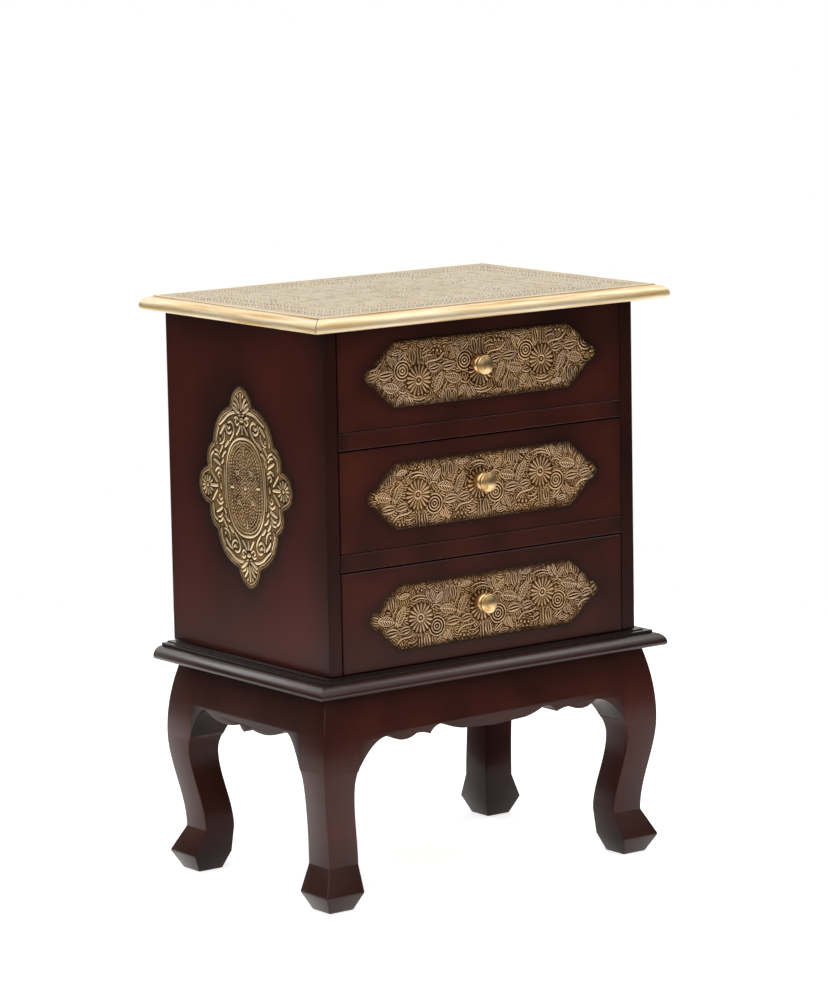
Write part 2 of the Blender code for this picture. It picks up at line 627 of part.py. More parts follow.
def add_edge_clad(name, half_length, half_depth, turn, brass):
    """One mitred length of brass, folded over the edge of the top board."""
    section = nose_path(0.0) + list(reversed(nose_path(SHEET_THICKNESS)))
    mitre_gap = SEAT_GAP / 2
    bm = bmesh.new()
    left = [bm.verts.new((-half_length - out + mitre_gap, -half_depth - out, z)) for out, z in section]
    cap = bm.faces.new(left)
    grown = bmesh.ops.extrude_face_region(bm, geom=[cap], use_keep_orig=True)
    for item in grown["geom"]:
        if isinstance(item, bmesh.types.BMVert):
            item.co.x = -item.co.x
    clad = add_object(name, bm, brass, smooth=True)
    clad.location.z = TOP_FOOT_Z
    clad.rotation_euler.z = turn


def add_top(wood, brass, edge_brass):
    """The moulded top board, the embossed sheet on it and the brass round its edge."""
    half_x, half_y = TOP_WIDTH / 2 - NOSE_OUT, TOP_DEPTH / 2 - NOSE_OUT
    core = list(reversed(nose_path(SHEET_THICKNESS + SEAT_GAP)[1:]))
    rebate = (NOSE_OUT - NOSE_UNDER_R - SEAT_GAP, 0.0)
    rings = [(-half_x - out, half_x + out, -half_y - out, half_y + out, z) for out, z in [rebate, *core]]
    board = add_object("top_board", loft_bmesh(rings), wood)
    board.location.z = TOP_FOOT_Z
    bite = TOP_SCREW_LENGTH - CLEAT_SIZE
    for x, y in top_screw_places().values():
        hole = cylinder_bmesh(SCREW_HOLE_R, bite + SEAT_GAP + CUT_PAST, SHANK_SIDES)
        helper = use_boolean(board, hole, "DIFFERENCE")
        helper.location = (x, y, TOP_FOOT_Z - CUT_PAST)
    edge = CLAD_MARGIN + SEAT_GAP
    low = (-half_x + edge, -half_y + edge, SHEET_FOOT_Z)
    high = (half_x - edge, half_y - edge, OVERALL_HEIGHT)
    add_object("top_sheet", box_bmesh(low, high), brass)
    add_edge_clad("edge_clad_front", half_x, half_y, 0.0, edge_brass)
    add_edge_clad("edge_clad_back", half_x, half_y, math.pi, edge_brass)
    add_edge_clad("edge_clad_left", half_y, half_x, -math.pi / 2, edge_brass)
    add_edge_clad("edge_clad_right", half_y, half_x, math.pi / 2, edge_brass)


def mirrored_outline(quarter):
    """A whole outline from its first quarter, which runs from +X round to +Y."""
    upper = quarter + [(-x, y) for x, y in reversed(quarter[:-1])]
    return upper + [(x, -y) for x, y in reversed(upper[1:-1])]


def plate_outline():
    """The drawer facing: a long hexagon with a round tip at each end."""
    half_x, half_y = PLATE_LENGTH / 2, PLATE_HEIGHT / 2
    notch = (half_x - PLATE_TIP, PLATE_TIP_RISE)
    corner = (half_x - PLATE_CORNER, half_y)
    quarter = arc((half_x, 0.0), notch, PLATE_TIP_BULGE) + arc(notch, corner, PLATE_SLANT_BULGE)
    return mirrored_outline([*quarter, corner, (0.0, half_y)])


def medallion_outline():
    """The side facing: rosettes at its sides, palmettes at its ends and scrolls between them."""
    side, tip = (MEDALLION_WIDTH / 2, 0.0), (0.0, MEDALLION_HEIGHT / 2)
    stops = [side, ROSETTE_NOTCH, SCROLL_NOTCH, PALMETTE_NOTCH, tip]
    bulges = [ROSETTE_BULGE, SCROLL_BULGE, SHOULDER_BULGE, PALMETTE_BULGE]
    quarter = []
    for start, end, bulge in zip(stops, stops[1:], bulges):
        quarter += arc(start, end, bulge)
    return mirrored_outline([*quarter, tip])


def add_medallions(brass):
    """One facing on the middle of each side panel."""
    middle_y = (CARCASS_FRONT_Y + CARCASS_BACK_Y) / 2
    middle_z = (CARCASS_FOOT_Z + CARCASS_TOP_Z) / 2 + MEDALLION_RISE
    for side, name in ((-1, "medallion_left"), (1, "medallion_right")):
        bm = prism_bmesh(medallion_outline(), SHEET_THICKNESS)
        tilt = Matrix.Rotation(MEDALLION_TILT, 3, "Z")
        bmesh.ops.rotate(bm, verts=bm.verts, cent=(0.0, 0.0, 0.0), matrix=tilt)
        medallion = add_object(name, bm, brass)
        medallion.location = (side * (CARCASS_WIDTH / 2 + SEAT_GAP), middle_y, middle_z)
        medallion.rotation_euler = (math.pi / 2, 0.0, side * math.pi / 2)


def knob_bmesh():
    """A turned knob that stands up from the ground plane, with a blind bore for its screw."""
    profile = [(0.0, KNOB_BORE_DEPTH), (SCREW_HOLE_R, KNOB_BORE_DEPTH)]
    profile += [(SCREW_HOLE_R, 0.0), (KNOB_FOOT_R, 0.0)]
    for i in range(CURVE_STEPS + 1):
        share = i / CURVE_STEPS
        neck = KNOB_FOOT_R if share < 0.5 else KNOB_GROOVE_R
        swell = (1 - abs(2 * share - 1) ** KNOB_BEAD_FULLNESS) ** (1 / KNOB_BEAD_FULLNESS)
        profile.append((neck + (KNOB_BEAD_R - neck) * swell, KNOB_FOOT_HEIGHT + KNOB_BEAD_LENGTH * share))
    head = KNOB_FOOT_HEIGHT + KNOB_BEAD_LENGTH + KNOB_GROOVE_WIDTH
    rim = head + KNOB_HEAD_LENGTH
    flat_r = KNOB_HEAD_R - KNOB_HEAD_ROUND
    profile += [
        (KNOB_GROOVE_R, head),
        (flat_r, head),
        (KNOB_HEAD_R, head + KNOB_HEAD_ROUND),
        (KNOB_HEAD_R, rim - KNOB_HEAD_ROUND),
    ]
    for i in range(CURVE_STEPS // 2 + 1):
        share = 1 - i / (CURVE_STEPS // 2)
        profile.append((flat_r * share, rim + KNOB_DOME * (1 - share**2)))
    return turned_bmesh(profile, ROUND_SIDES)


def face_front(obj, x, y, z):
    """Stands a piece that was made upright out of the drawer front, towards -Y."""
    obj.rotation_euler = (math.pi / 2, 0.0, 0.0)
    obj.location = (x, y, z)


def add_drawer(number, wood, plain_wood, brass, knob_brass, steel):
    """One drawer: a lapped and grooved box behind a solid front, with its facing and knob."""
    name = f"drawer{number}"
    foot = drawer_foot_z(number)
    carrier = add_empty(f"{name}_slide", (0.0, CARCASS_FRONT_Y, foot))
    half = FRONT_WIDTH / 2
    inner = half - BOX_SIDE_THICKNESS
    box_low, box_high = SEAT_GAP, SEAT_GAP + BOX_SIDE_HEIGHT
    front_low, front_high = DRAWER_FOOT_GAP, DRAWER_FOOT_GAP + FRONT_HEIGHT
    middle_z = (front_low + front_high) / 2
    plate_z = middle_z + PLATE_RISES[number - 1]
    knob_x, knob_z = KNOB_SHIFTS[number - 1], middle_z + KNOB_RISES[number - 1]
    lap_y = FRONT_THICKNESS - BOX_LAP
    groove_low = box_low + BOTTOM_RISE
    groove_high = groove_low + BOTTOM_THICKNESS + 2 * SEAT_GAP
    groove_y = FRONT_THICKNESS - GROOVE_DEPTH

    front_box = box_bmesh((-half, 0.0, front_low), (half, FRONT_THICKNESS, front_high))
    front = add_object(f"{name}_front", front_box, wood, carrier)
    groove = box_bmesh(
        (-inner - CUT_PAST, groove_y, groove_low),
        (inner + CUT_PAST, FRONT_THICKNESS + CUT_PAST, groove_high),
    )
    use_boolean(front, groove, "DIFFERENCE")
    hole = cylinder_bmesh(SCREW_HOLE_R, FRONT_THICKNESS + 2 * CUT_PAST, SHANK_SIDES)
    face_front(use_boolean(front, hole, "DIFFERENCE"), knob_x, FRONT_THICKNESS + CUT_PAST, knob_z)

    back_y = DRAWER_LENGTH - BOX_BACK_SETBACK - BOX_BACK_THICKNESS
    for side, side_name in ((-1, "left"), (1, "right")):
        x = span(side * (inner - SEAT_GAP), side * (half + CUT_PAST))
        rebate = box_bmesh(
            (x[0], lap_y - SEAT_GAP, front_low - CUT_PAST),
            (x[1], FRONT_THICKNESS + CUT_PAST, box_high + SEAT_GAP),
        )
        use_boolean(front, rebate, "DIFFERENCE")
        x = span(side * inner, side * half)
        board = box_bmesh((x[0], lap_y, box_low), (x[1], DRAWER_LENGTH, box_high))
        box_side = add_object(f"{name}_side_{side_name}", board, plain_wood, carrier)
        x = span(side * (inner - CUT_PAST), side * (inner + GROOVE_DEPTH))
        groove = box_bmesh(
            (x[0], lap_y - CUT_PAST, groove_low), (x[1], DRAWER_LENGTH + CUT_PAST, groove_high)
        )
        use_boolean(box_side, groove, "DIFFERENCE")
        x = span(side * (inner - CUT_PAST), side * (inner + DADO_DEPTH))
        dado = box_bmesh(
            (x[0], back_y - SEAT_GAP, groove_high - SEAT_GAP),
            (x[1], back_y + BOX_BACK_THICKNESS + SEAT_GAP, box_high + CUT_PAST),
        )
        use_boolean(box_side, dado, "DIFFERENCE")

    wide = inner + DADO_DEPTH - SEAT_GAP
    back = box_bmesh((-wide, back_y, groove_high), (wide, back_y + BOX_BACK_THICKNESS, box_high))
    add_object(f"{name}_back", back, plain_wood, carrier)
    wide = inner + GROOVE_DEPTH - SEAT_GAP
    panel = box_bmesh(
        (-wide, groove_y + SEAT_GAP, groove_low + SEAT_GAP), (wide, DRAWER_LENGTH, groove_high - SEAT_GAP)
    )
    add_object(f"{name}_bottom", panel, plain_wood, carrier)

    plate = add_object(f"{name}_plate", prism_bmesh(plate_outline(), SHEET_THICKNESS), brass, carrier)
    face_front(plate, 0.0, -SEAT_GAP, plate_z)
    hole = cylinder_bmesh(SCREW_HOLE_R, SHEET_THICKNESS + 2 * CUT_PAST, SHANK_SIDES)
    face_front(use_boolean(plate, hole, "DIFFERENCE"), knob_x, CUT_PAST - SEAT_GAP, knob_z)
    knob_y = -2 * SEAT_GAP - SHEET_THICKNESS
    knob = add_object(f"{name}_knob", knob_bmesh(), knob_brass, carrier, smooth=True)
    face_front(knob, knob_x, knob_y, knob_z)
    shank = FRONT_THICKNESS + SEAT_GAP - knob_y + KNOB_SCREW_BITE
    screw = add_object(f"{name}_knob_screw", screw_bmesh(shank), steel, carrier, smooth=True)
    face_front(screw, knob_x, FRONT_THICKNESS + SEAT_GAP, knob_z)


def main():
    """Builds the nightstand."""
    clear_scene()
    wood = make_material("mahogany_stained_wood", (0.045, 0.014, 0.010), 0.35)
    plain_wood = make_material("plain_hardwood", (0.30, 0.17, 0.09), 0.65)
    brass = make_material("embossed_brass_sheet", (0.42, 0.29, 0.13), 0.42, 0.9)
    edge_brass = make_material("smooth_brass_edge", (0.72, 0.52, 0.24), 0.32, 0.9)
    knob_brass = make_material("turned_brass", (0.70, 0.45, 0.17), 0.22, 1.0)
    steel = make_material("zinc_steel", (0.55, 0.55, 0.56), 0.4, 1.0)
    add_base(wood, plain_wood)
    add_waist_board(wood)
    add_side_panels(wood)
    add_back_panel(plain_wood)
    add_rails(wood, plain_wood)
    add_cleats(plain_wood, steel)
    add_top(wood, brass, edge_brass)
    add_medallions(brass)
    for number in range(1, DRAWER_COUNT + 1):
        add_drawer(number, wood, plain_wood, brass, knob_brass, steel)


main()
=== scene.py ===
"""Looks of a three-drawer nightstand: lacquered wood, chased brass facings, polished edge and knobs.

Lengths are metres, except where a name ends in _mm. Ornament is drawn in millimetres, in the plane of
its own sheet, with x to the right and z up as seen from outside.
"""

from __future__ import annotations

import logging
import math
from dataclasses import dataclass
from enum import Enum
from typing import Any, Sequence

import bmesh
import bpy
import numpy as np
from mathutils import Matrix, Vector


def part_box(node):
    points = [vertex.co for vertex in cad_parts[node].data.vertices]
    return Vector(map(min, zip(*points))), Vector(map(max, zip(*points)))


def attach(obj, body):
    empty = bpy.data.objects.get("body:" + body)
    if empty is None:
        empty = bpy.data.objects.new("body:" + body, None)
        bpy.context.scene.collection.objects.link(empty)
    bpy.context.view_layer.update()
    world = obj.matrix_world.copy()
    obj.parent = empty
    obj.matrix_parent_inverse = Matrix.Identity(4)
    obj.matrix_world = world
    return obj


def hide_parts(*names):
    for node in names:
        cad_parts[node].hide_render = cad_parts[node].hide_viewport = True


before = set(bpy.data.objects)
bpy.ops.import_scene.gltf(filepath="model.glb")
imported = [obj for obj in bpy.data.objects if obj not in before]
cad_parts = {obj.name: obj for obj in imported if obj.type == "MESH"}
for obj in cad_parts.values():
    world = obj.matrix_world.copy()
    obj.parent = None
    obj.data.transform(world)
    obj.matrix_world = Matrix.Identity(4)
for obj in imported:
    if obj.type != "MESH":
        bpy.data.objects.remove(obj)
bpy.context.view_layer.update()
LOG = logging.getLogger("nightstand")

MM = 0.001
CABINET = "cabinet"
SHADER = "Principled BSDF"
WELD = 1e-6  # points nearer than this are one
NOISE_SPAN = (0.3, 0.7)  # where most values of a noise lie
WHITE = (1.0, 1.0, 1.0, 1.0)
SIDES = ((-1, "left"), (1, "right"))

Path = Sequence[tuple[float, float]]
Span = tuple[float, float]
Object = bpy.types.Object
Material = bpy.types.Material
Mesh = bmesh.types.BMesh
Socket = bpy.types.NodeSocket


class Grain(Enum):
    """The way that the fibres of a board run, as the axis number."""

    ACROSS = 0
    DEEP = 1
    UPRIGHT = 2


class Side(Enum):
    """A side of the object, as its turn about Z from the front."""

    FRONT = 0.0
    BACK = math.pi
    LEFT = -math.pi / 2
    RIGHT = math.pi / 2

    def word(self) -> str:
        """The side as it stands in the names of pieces."""
        return self.name.lower()

    def runs_across(self) -> bool:
        """Whether its length lies along X, as that of the front and the back does."""
        return self in (Side.FRONT, Side.BACK)


class Veins(Enum):
    """How a leaf is filled: with slanting veins from a midrib, or with ribs along it."""

    SLANTED = "slanted"
    ALONG = "along"


def linear(colour: str) -> tuple[float, float, float, float]:
    """Turns an sRGB hex colour into linear light.

    Args:
        colour: six hex digits after a hash.

    Returns:
        Red, green, blue and full alpha.
    """
    levels = [int(colour[i : i + 2], 16) / 255 for i in (1, 3, 5)]
    red, green, blue = (v / 12.92 if v <= 0.04045 else ((v + 0.055) / 1.055) ** 2.4 for v in levels)
    return (red, green, blue, 1.0)


class Graph:
    """A node tree, wired by calls that each add a node and return its output."""

    def __init__(self, tree: bpy.types.NodeTree) -> None:
        """Starts on a tree."""
        self.tree = tree

    def join(self, value: Any, socket: Socket) -> None:
        """Links an output to an input, or sets the input to a plain value.

        Args:
            value: the output, or the plain value.
            socket: the input.
        """
        if isinstance(value, bpy.types.NodeSocket):
            self.tree.links.new(value, socket)
        else:
            socket.default_value = value

    def add(
        self, kind: str, output: str | int, inputs: dict[Any, Any] | None = None, **options: Any
    ) -> Socket:
        """Adds a node.

        Args:
            kind: its type, without the prefix of all shader nodes.
            output: name or number of the output that is used.
            inputs: plain values and other nodes' outputs, by input name or number.
            options: the node's own settings.

        Returns:
            The output.
        """
        node = self.tree.nodes.new(f"ShaderNode{kind}")
        for key, value in options.items():
            setattr(node, key, value)
        for key, value in (inputs or {}).items():
            self.join(value, node.inputs[key])
        return node.outputs[output]

    def shade(self, node: str, inputs: dict[str, Any]) -> None:
        """Sets and links inputs of a node that the tree starts with."""
        for key, value in inputs.items():
            self.join(value, self.tree.nodes[node].inputs[key])

    def place(self) -> Socket:
        """The shaded point, in the frame of its piece."""
        return self.add("TexCoord", "Object")

    def attribute(self, name: str) -> Socket:
        """A number that is painted on the piece."""
        return self.add("Attribute", "Fac", attribute_name=name)

    def drawn_out(self, place: Socket, grain: Grain, size_mm: float, stretch: float) -> Socket:
        """Scales space for noise that runs along the grain.

        Args:
            place: the shaded point.
            grain: the way that the noise is drawn out.
            size_mm: of the noise, across the grain.
            stretch: how many times longer it is along the grain.

        Returns:
            The place in scaled space.
        """
        scale = [1 / (size_mm * MM)] * 3
        scale[grain.value] /= stretch
        return self.add("Mapping", "Vector", {"Vector": place, "Scale": scale})

    def noise(self, place: Socket, scale: float, detail: float, **more: float) -> Socket:
        """Clouds, of so many to a unit of length."""
        return self.add("TexNoise", "Fac", {"Vector": place, "Scale": scale, "Detail": detail, **more})

    def spread(
        self, value: Socket, source: Span = (0.0, 1.0), target: Span = (0.0, 1.0), smooth: bool = False
    ) -> Socket:
        """Maps one range of values onto another.

        Args:
            value: what is mapped.
            source: the range that it comes from.
            target: the range that it goes to.
            smooth: whether it eases in and out.

        Returns:
            The mapped value, which stays in its range.
        """
        names = ("From Min", "From Max", "To Min", "To Max")
        inputs = {"Value": value, **dict(zip(names, source + target))}
        return self.add("MapRange", "Result", inputs, interpolation_type="SMOOTHSTEP" if smooth else "LINEAR")

    def math(self, operation: str, *terms: Any, clamp: bool = False) -> Socket:
        """One step of arithmetic on outputs and plain values."""
        return self.add("Math", "Value", dict(enumerate(terms)), operation=operation, use_clamp=clamp)

    def blend(self, share: Socket, first: Any, second: Any, kind: str = "MIX") -> Socket:
        """Mixes a share of the second colour into the first."""
        return self.add("Mix", 2, {0: share, 6: first, 7: second}, data_type="RGBA", blend_type=kind)

    def ramp(self, value: Socket, stops: Sequence[tuple[float, str]]) -> Socket:
        """Turns a number into a colour.

        Args:
            value: the number.
            stops: places and colours, from low to high.

        Returns:
            The colour.
        """
        output = self.add("ValToRGB", "Color", {"Fac": value})
        elements = output.node.color_ramp.elements
        while len(elements) < len(stops):
            elements.new(1.0)
        for element, (place, colour) in zip(elements, stops):
            element.position = place
            element.color = linear(colour)
        return output

    def bump(self, height: Socket, strength: float, depth_mm: float) -> Socket:
        """A normal that leans with a height."""
        return self.add("Bump", "Normal", {"Strength": strength, "Distance": depth_mm * MM, "Height": height})

    def shiny(self) -> Socket:
        """1 for rays that come from lacquer or metal, and 0 for others."""
        rays = [self.add("LightPath", f"Is {kind} Ray") for kind in ("Glossy", "Transmission")]
        return self.math("MAXIMUM", *rays)

    def seen(self, mirrored: Socket) -> Socket:
        """1 for the camera, and a given value for shiny rays."""
        glint = self.math("MULTIPLY", self.shiny(), mirrored)
        return self.math("MAXIMUM", self.add("LightPath", "Is Camera Ray"), glint)


def new_material(name: str) -> tuple[Material, Graph]:
    """Makes a material with its Principled shader.

    Args:
        name: the finish's name.

    Returns:
        The material and its node tree.
    """
    made = bpy.data.materials.new(name)
    made.use_nodes = True
    return made, Graph(made.node_tree)


@dataclass(frozen=True)
class LacqueredWood:
    """Mahogany-stained hardwood, sprayed darker towards its edges and lacquered.

    The stain gives a warm red-brown with soft clouds, the shading lacquer near-black borders, and the
    rubbed clear coat a soft gloss. The same darkening also carries painted shade: under the top and the
    waist board, in the corners of mouldings, where boards meet, on inner faces and towards the right
    end of the drawer fronts.
    """

    name: str
    grain: Grain
    red: str = "#4F1D12"
    brown: str = "#36170F"
    shade: str = "#1A0D0A"
    roughness: float = 0.30
    specular: float = 0.18  # below the default, since the rubbed lacquer is dull
    raw_specular: float = 0.10  # faces inside the base are stained but not rubbed
    # painted shade on those inner faces
    inner_painted_shade: float = 0.28
    coat: float = 0.07
    coat_roughness: float = 0.12
    fibre_mm: float = 1.6  # real pores are finer, and would not show
    stretch: float = 28.0
    streaks: Span = (0.88, 1.10)  # how much the fibres darken and lighten the stain
    cloud_mm: float = 60.0
    cloud_span: Span = (0.25, 0.75)  # of the noise, from brown to red
    bump: float = 0.18
    bump_mm: float = 0.04

    def material(self) -> Material:
        """Builds the finish from the board's darkening (spray stain and painted shade), its unrubbed faces,
        its fibres and its clouds.

        Returns:
            The material.
        """
        made, graph = new_material(self.name)
        place = graph.place()
        along = graph.drawn_out(place, self.grain, self.fibre_mm, self.stretch)
        fibres = graph.noise(along, 1.0, 3.0, Roughness=0.6, Distortion=0.4)
        clouds = graph.noise(place, 1 / (self.cloud_mm * MM), 1.5)
        stain = graph.blend(graph.spread(clouds, self.cloud_span), linear(self.brown), linear(self.red))
        streak = graph.spread(fibres, NOISE_SPAN, self.streaks)
        grained = graph.add("VectorMath", "Vector", {0: stain, "Scale": streak}, operation="SCALE")
        # darkening: spray stain and painted shade, with more painted shade on unrubbed inner faces
        raw = graph.attribute("raw")
        dark = graph.math("MULTIPLY_ADD", raw, self.inner_painted_shade, graph.attribute("spray_and_painted_shade"), clamp=True)
        gloss = (self.roughness - 0.01, self.roughness + 0.05)
        inputs = {
            "Base Color": graph.blend(dark, grained, linear(self.shade)),
            "Roughness": graph.spread(clouds, NOISE_SPAN, gloss),
            "Normal": graph.bump(fibres, self.bump, self.bump_mm),
            "Specular IOR Level": graph.spread(raw, target=(self.specular, self.raw_specular)),
            "Coat Weight": self.coat,
            "Coat Roughness": self.coat_roughness,
        }
        graph.shade(SHADER, inputs)
        return made


@dataclass(frozen=True)
class PlainWood:
    """Unfinished hardwood of the insides, planed, with open grain and a little dust."""

    name: str
    grain: Grain
    pale: str = "#A47C55"
    dark: str = "#7C5536"
    roughness: float = 0.68
    fibre_mm: float = 2.0
    stretch: float = 22.0
    cloud_mm: float = 90.0
    cloud_share: float = 0.6
    cloud_drop: float = -0.15
    bump: float = 0.4
    bump_mm: float = 0.1

    def material(self) -> Material:
        """Builds the finish from stretched fibres and slow clouds.

        Returns:
            The material.
        """
        made, graph = new_material(self.name)
        place = graph.place()
        along = graph.drawn_out(place, self.grain, self.fibre_mm, self.stretch)
        fibres = graph.noise(along, 1.0, 4.0, Roughness=0.62, Distortion=0.5)
        clouds = graph.noise(place, 1 / (self.cloud_mm * MM), 3.0)
        drift = graph.math("MULTIPLY_ADD", clouds, self.cloud_share, self.cloud_drop)
        level = graph.math("ADD", fibres, drift)
        inputs = {
            "Base Color": graph.ramp(level, [(0.42, self.dark), (0.86, self.pale)]),
            "Roughness": self.roughness,
            "Normal": graph.bump(fibres, self.bump, self.bump_mm),
        }
        graph.shade(SHADER, inputs)
        return made


@dataclass(frozen=True)
class ChasedBrass:
    """Brass sheet, pressed over dies and rubbed back: patina in the grounds, bare metal on the ridges."""

    name: str
    ground: str = "#2F1B06"
    slope: str = "#8C622E"
    ridge: str = "#D6BAA0"
    stain: str = "#3A2416"
    stain_mm: float = 8.0  # how far the wood's dark spray laps over the sheet's edge
    ragged: Span = (-0.15, 0.2)  # how far the lap's edge wanders, as shares of its width
    ragged_mm: float = 5.0
    tarnish_mm: float = 22.0
    tarnish: Span = (-0.10, 0.12)  # what it takes from the height, and adds
    yellow: float = 0.6  # how strongly the slow patches turn yellow
    yellow_tint: str = "#FFF4CC"
    bare: Span = (0.92, 1.0)  # metal in the grounds and on the ridges
    ridge_roughness: float = 0.34
    ground_roughness: float = 0.62

    def material(self) -> Material:
        """Builds the finish from the sheet's relief and edge attributes.

        Returns:
            The material.
        """
        made, graph = new_material(self.name)
        place = graph.place()
        tarnish = graph.noise(place, 1 / (self.tarnish_mm * MM), 5.0)
        level = graph.math("ADD", graph.attribute("relief"), graph.spread(tarnish, NOISE_SPAN, self.tarnish))
        metal = graph.ramp(level, [(0.08, self.ground), (0.42, self.slope), (0.85, self.ridge)])
        slow = graph.noise(place, 0.5 / (self.tarnish_mm * MM), 2.0)
        yellowed = graph.spread(slow, (0.35, 0.65), (0.0, self.yellow))
        toned = graph.blend(yellowed, metal, linear(self.yellow_tint), "MULTIPLY")
        broken = graph.noise(place, 1 / (self.ragged_mm * MM), 3.0)
        wander = (self.ragged[0] * self.stain_mm, self.ragged[1] * self.stain_mm)
        edge = graph.math("SUBTRACT", graph.attribute("edge_mm"), graph.spread(broken, (0.35, 0.70), wander))
        stained = graph.spread(edge, (0.0, self.stain_mm), (1.0, 0.0), smooth=True)
        inputs = {
            "Base Color": graph.blend(stained, toned, linear(self.stain)),
            "Metallic": graph.spread(level, (0.05, 0.5), self.bare),
            "Roughness": graph.spread(level, target=(self.ground_roughness, self.ridge_roughness)),
        }
        graph.shade(SHADER, inputs)
        return made


@dataclass(frozen=True)
class PolishedBrass:
    """Bare brass, rubbed along one axis: fine drag lines, small dents and a few duller patches."""

    name: str
    bright: str = "#EBDABC"
    dull: str = "#DAC49C"
    worn: str = "#CBAC76"
    roughness: float = 0.62
    grain: Grain = Grain.ACROSS
    drag_mm: float = 1.3  # drawn coarser than the real rubbing marks, which would not show
    stretch: float = 18.0
    patch_mm: float = 26.0
    bump: float = 0.25
    bump_mm: float = 0.03

    def material(self) -> Material:
        """Builds the finish from drag lines and slow patches.

        Returns:
            The material.
        """
        made, graph = new_material(self.name)
        along = graph.drawn_out(graph.place(), self.grain, self.drag_mm, self.stretch)
        drag = graph.noise(along, 1.0, 2.0)
        patches = graph.noise(along, self.drag_mm / self.patch_mm * 5, 4.0)
        gloss = (self.roughness + 0.08, self.roughness - 0.05)
        inputs = {
            "Base Color": graph.ramp(patches, [(0.30, self.worn), (0.42, self.dull), (0.60, self.bright)]),
            "Metallic": 1.0,
            "Roughness": graph.spread(patches, NOISE_SPAN, gloss),
            "Normal": graph.bump(drag, self.bump, self.bump_mm),
        }
        graph.shade(SHADER, inputs)
        return made


@dataclass(frozen=True)
class ZincSteel:
    """Zinc-plated screw steel: pale, a little cloudy and dull."""

    name: str = "zinc_steel_plated"
    pale: str = "#B9BABB"
    dark: str = "#85878A"
    cloud_mm: float = 1.5
    roughness: float = 0.42

    def material(self) -> Material:
        """Builds the finish from fine clouds.

        Returns:
            The material.
        """
        made, graph = new_material(self.name)
        clouds = graph.noise(graph.place(), 1 / (self.cloud_mm * MM), 3.0)
        tone = graph.ramp(clouds, [(0.35, self.dark), (0.65, self.pale)])
        graph.shade(SHADER, {"Base Color": tone, "Metallic": 1.0, "Roughness": self.roughness})
        return made


@dataclass(frozen=True)
class Fade:
    """Darkening that thins out with the distance from a line, used both for spray stain and for painted
    shade.
    """

    strength: float
    reach: float
    power: float = 1.0

    def at(self, distance: np.ndarray) -> np.ndarray:
        """Its strength at distances from the line."""
        return self.strength * np.exp(-((np.maximum(distance, 0.0) / self.reach) ** self.power))


def as_object(name: str, bm: Mesh, sharp: float | None = None) -> Object:
    """Turns a bmesh into an object at the origin.

    Args:
        name: the piece's name.
        bm: its shape, which is freed.
        sharp: if given, all is shaded smooth, apart from edges over this angle in degrees.

    Returns:
        The object.
    """
    mesh = bpy.data.meshes.new(name)
    bm.to_mesh(mesh)
    bm.free()
    if sharp is not None:
        mesh.shade_smooth()
        mesh.set_sharp_from_angle(angle=math.radians(sharp))
    obj = bpy.data.objects.new(name, mesh)
    bpy.context.scene.collection.objects.link(obj)
    return obj


def show(obj: Object, material: Material, body: str, slot: str, *nodes: str) -> None:
    """Dresses a piece, puts it on its body and lets it stand for its CAD nodes.

    Args:
        obj: the piece.
        material: its finish.
        body: the body that it moves with.
        slot: the record's material slot; not used.
        nodes: the CAD nodes that it replaces.
    """
    obj.data.materials.clear()
    obj.data.materials.append(material)
    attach(obj, body)
    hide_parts(*nodes)
    LOG.info("%s: %d faces on %s", obj.name, len(obj.data.polygons), body)


def middle_of(node: str) -> Vector:
    """The middle of a CAD node's box."""
    low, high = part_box(node)
    return (Vector(low) + Vector(high)) / 2


def copy_of(node: str) -> Mesh:
    """Copies a CAD node's mesh, with its loose triangles joined and its flat faces whole.

    Args:
        node: the node's name.

    Returns:
        The merged copy.
    """
    bm = bmesh.new()
    bm.from_mesh(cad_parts[node].data)
    bmesh.ops.remove_doubles(bm, verts=bm.verts, dist=WELD)
    bmesh.ops.dissolve_limit(bm, angle_limit=math.radians(0.5), verts=bm.verts, edges=bm.edges)
    return bm


def bevel(bm: Mesh, edges: list[bmesh.types.BMEdge], radius: float, segments: int = 2) -> None:
    """Rounds edges.

    Args:
        bm: the shape.
        edges: those that are rounded.
        radius: of the rounding.
        segments: faces across each rounded edge.
    """
    made = bmesh.ops.bevel(
        bm,
        geom=edges,
        offset=radius,
        offset_type="OFFSET",
        segments=segments,
        profile=0.5,
        affect="EDGES",
        clamp_overlap=True,
        material=-1,
    )
    for face in made["faces"]:
        face.smooth = True


def soften(bm: Mesh, radius: float, least: float = 30.0) -> None:
    """Rounds the outer edges, as sanding does.

    Args:
        bm: the shape.
        radius: of the rounding.
        least: the smallest angle, in degrees, of an edge that is rounded.
    """
    limit = math.radians(least)
    bevel(bm, [e for e in bm.edges if e.is_manifold and e.is_convex and e.calc_face_angle() > limit], radius)


def cut(bm: Mesh, through: Vector, normal: Vector) -> None:
    """Cuts all faces along a plane, without taking anything off."""
    everything = bm.verts[:] + bm.edges[:] + bm.faces[:]
    bmesh.ops.bisect_plane(bm, geom=everything, dist=WELD, plane_co=through, plane_no=normal)


def cut_grid(bm: Mesh, pitch: float) -> None:
    """Cuts the faces along level planes, so that shading can change across a flat board.

    Args:
        bm: the shape.
        pitch: distance between cuts.
    """
    spots = np.array([vert.co for vert in bm.verts])
    low, high = spots.min(axis=0), spots.max(axis=0)
    for axis in range(3):
        count = int((high[axis] - low[axis]) / pitch)
        normal = Vector((0.0, 0.0, 0.0))
        normal[axis] = 1.0
        for i in range(1, count):
            cut(bm, normal * (low[axis] + (high[axis] - low[axis]) * i / count), normal)


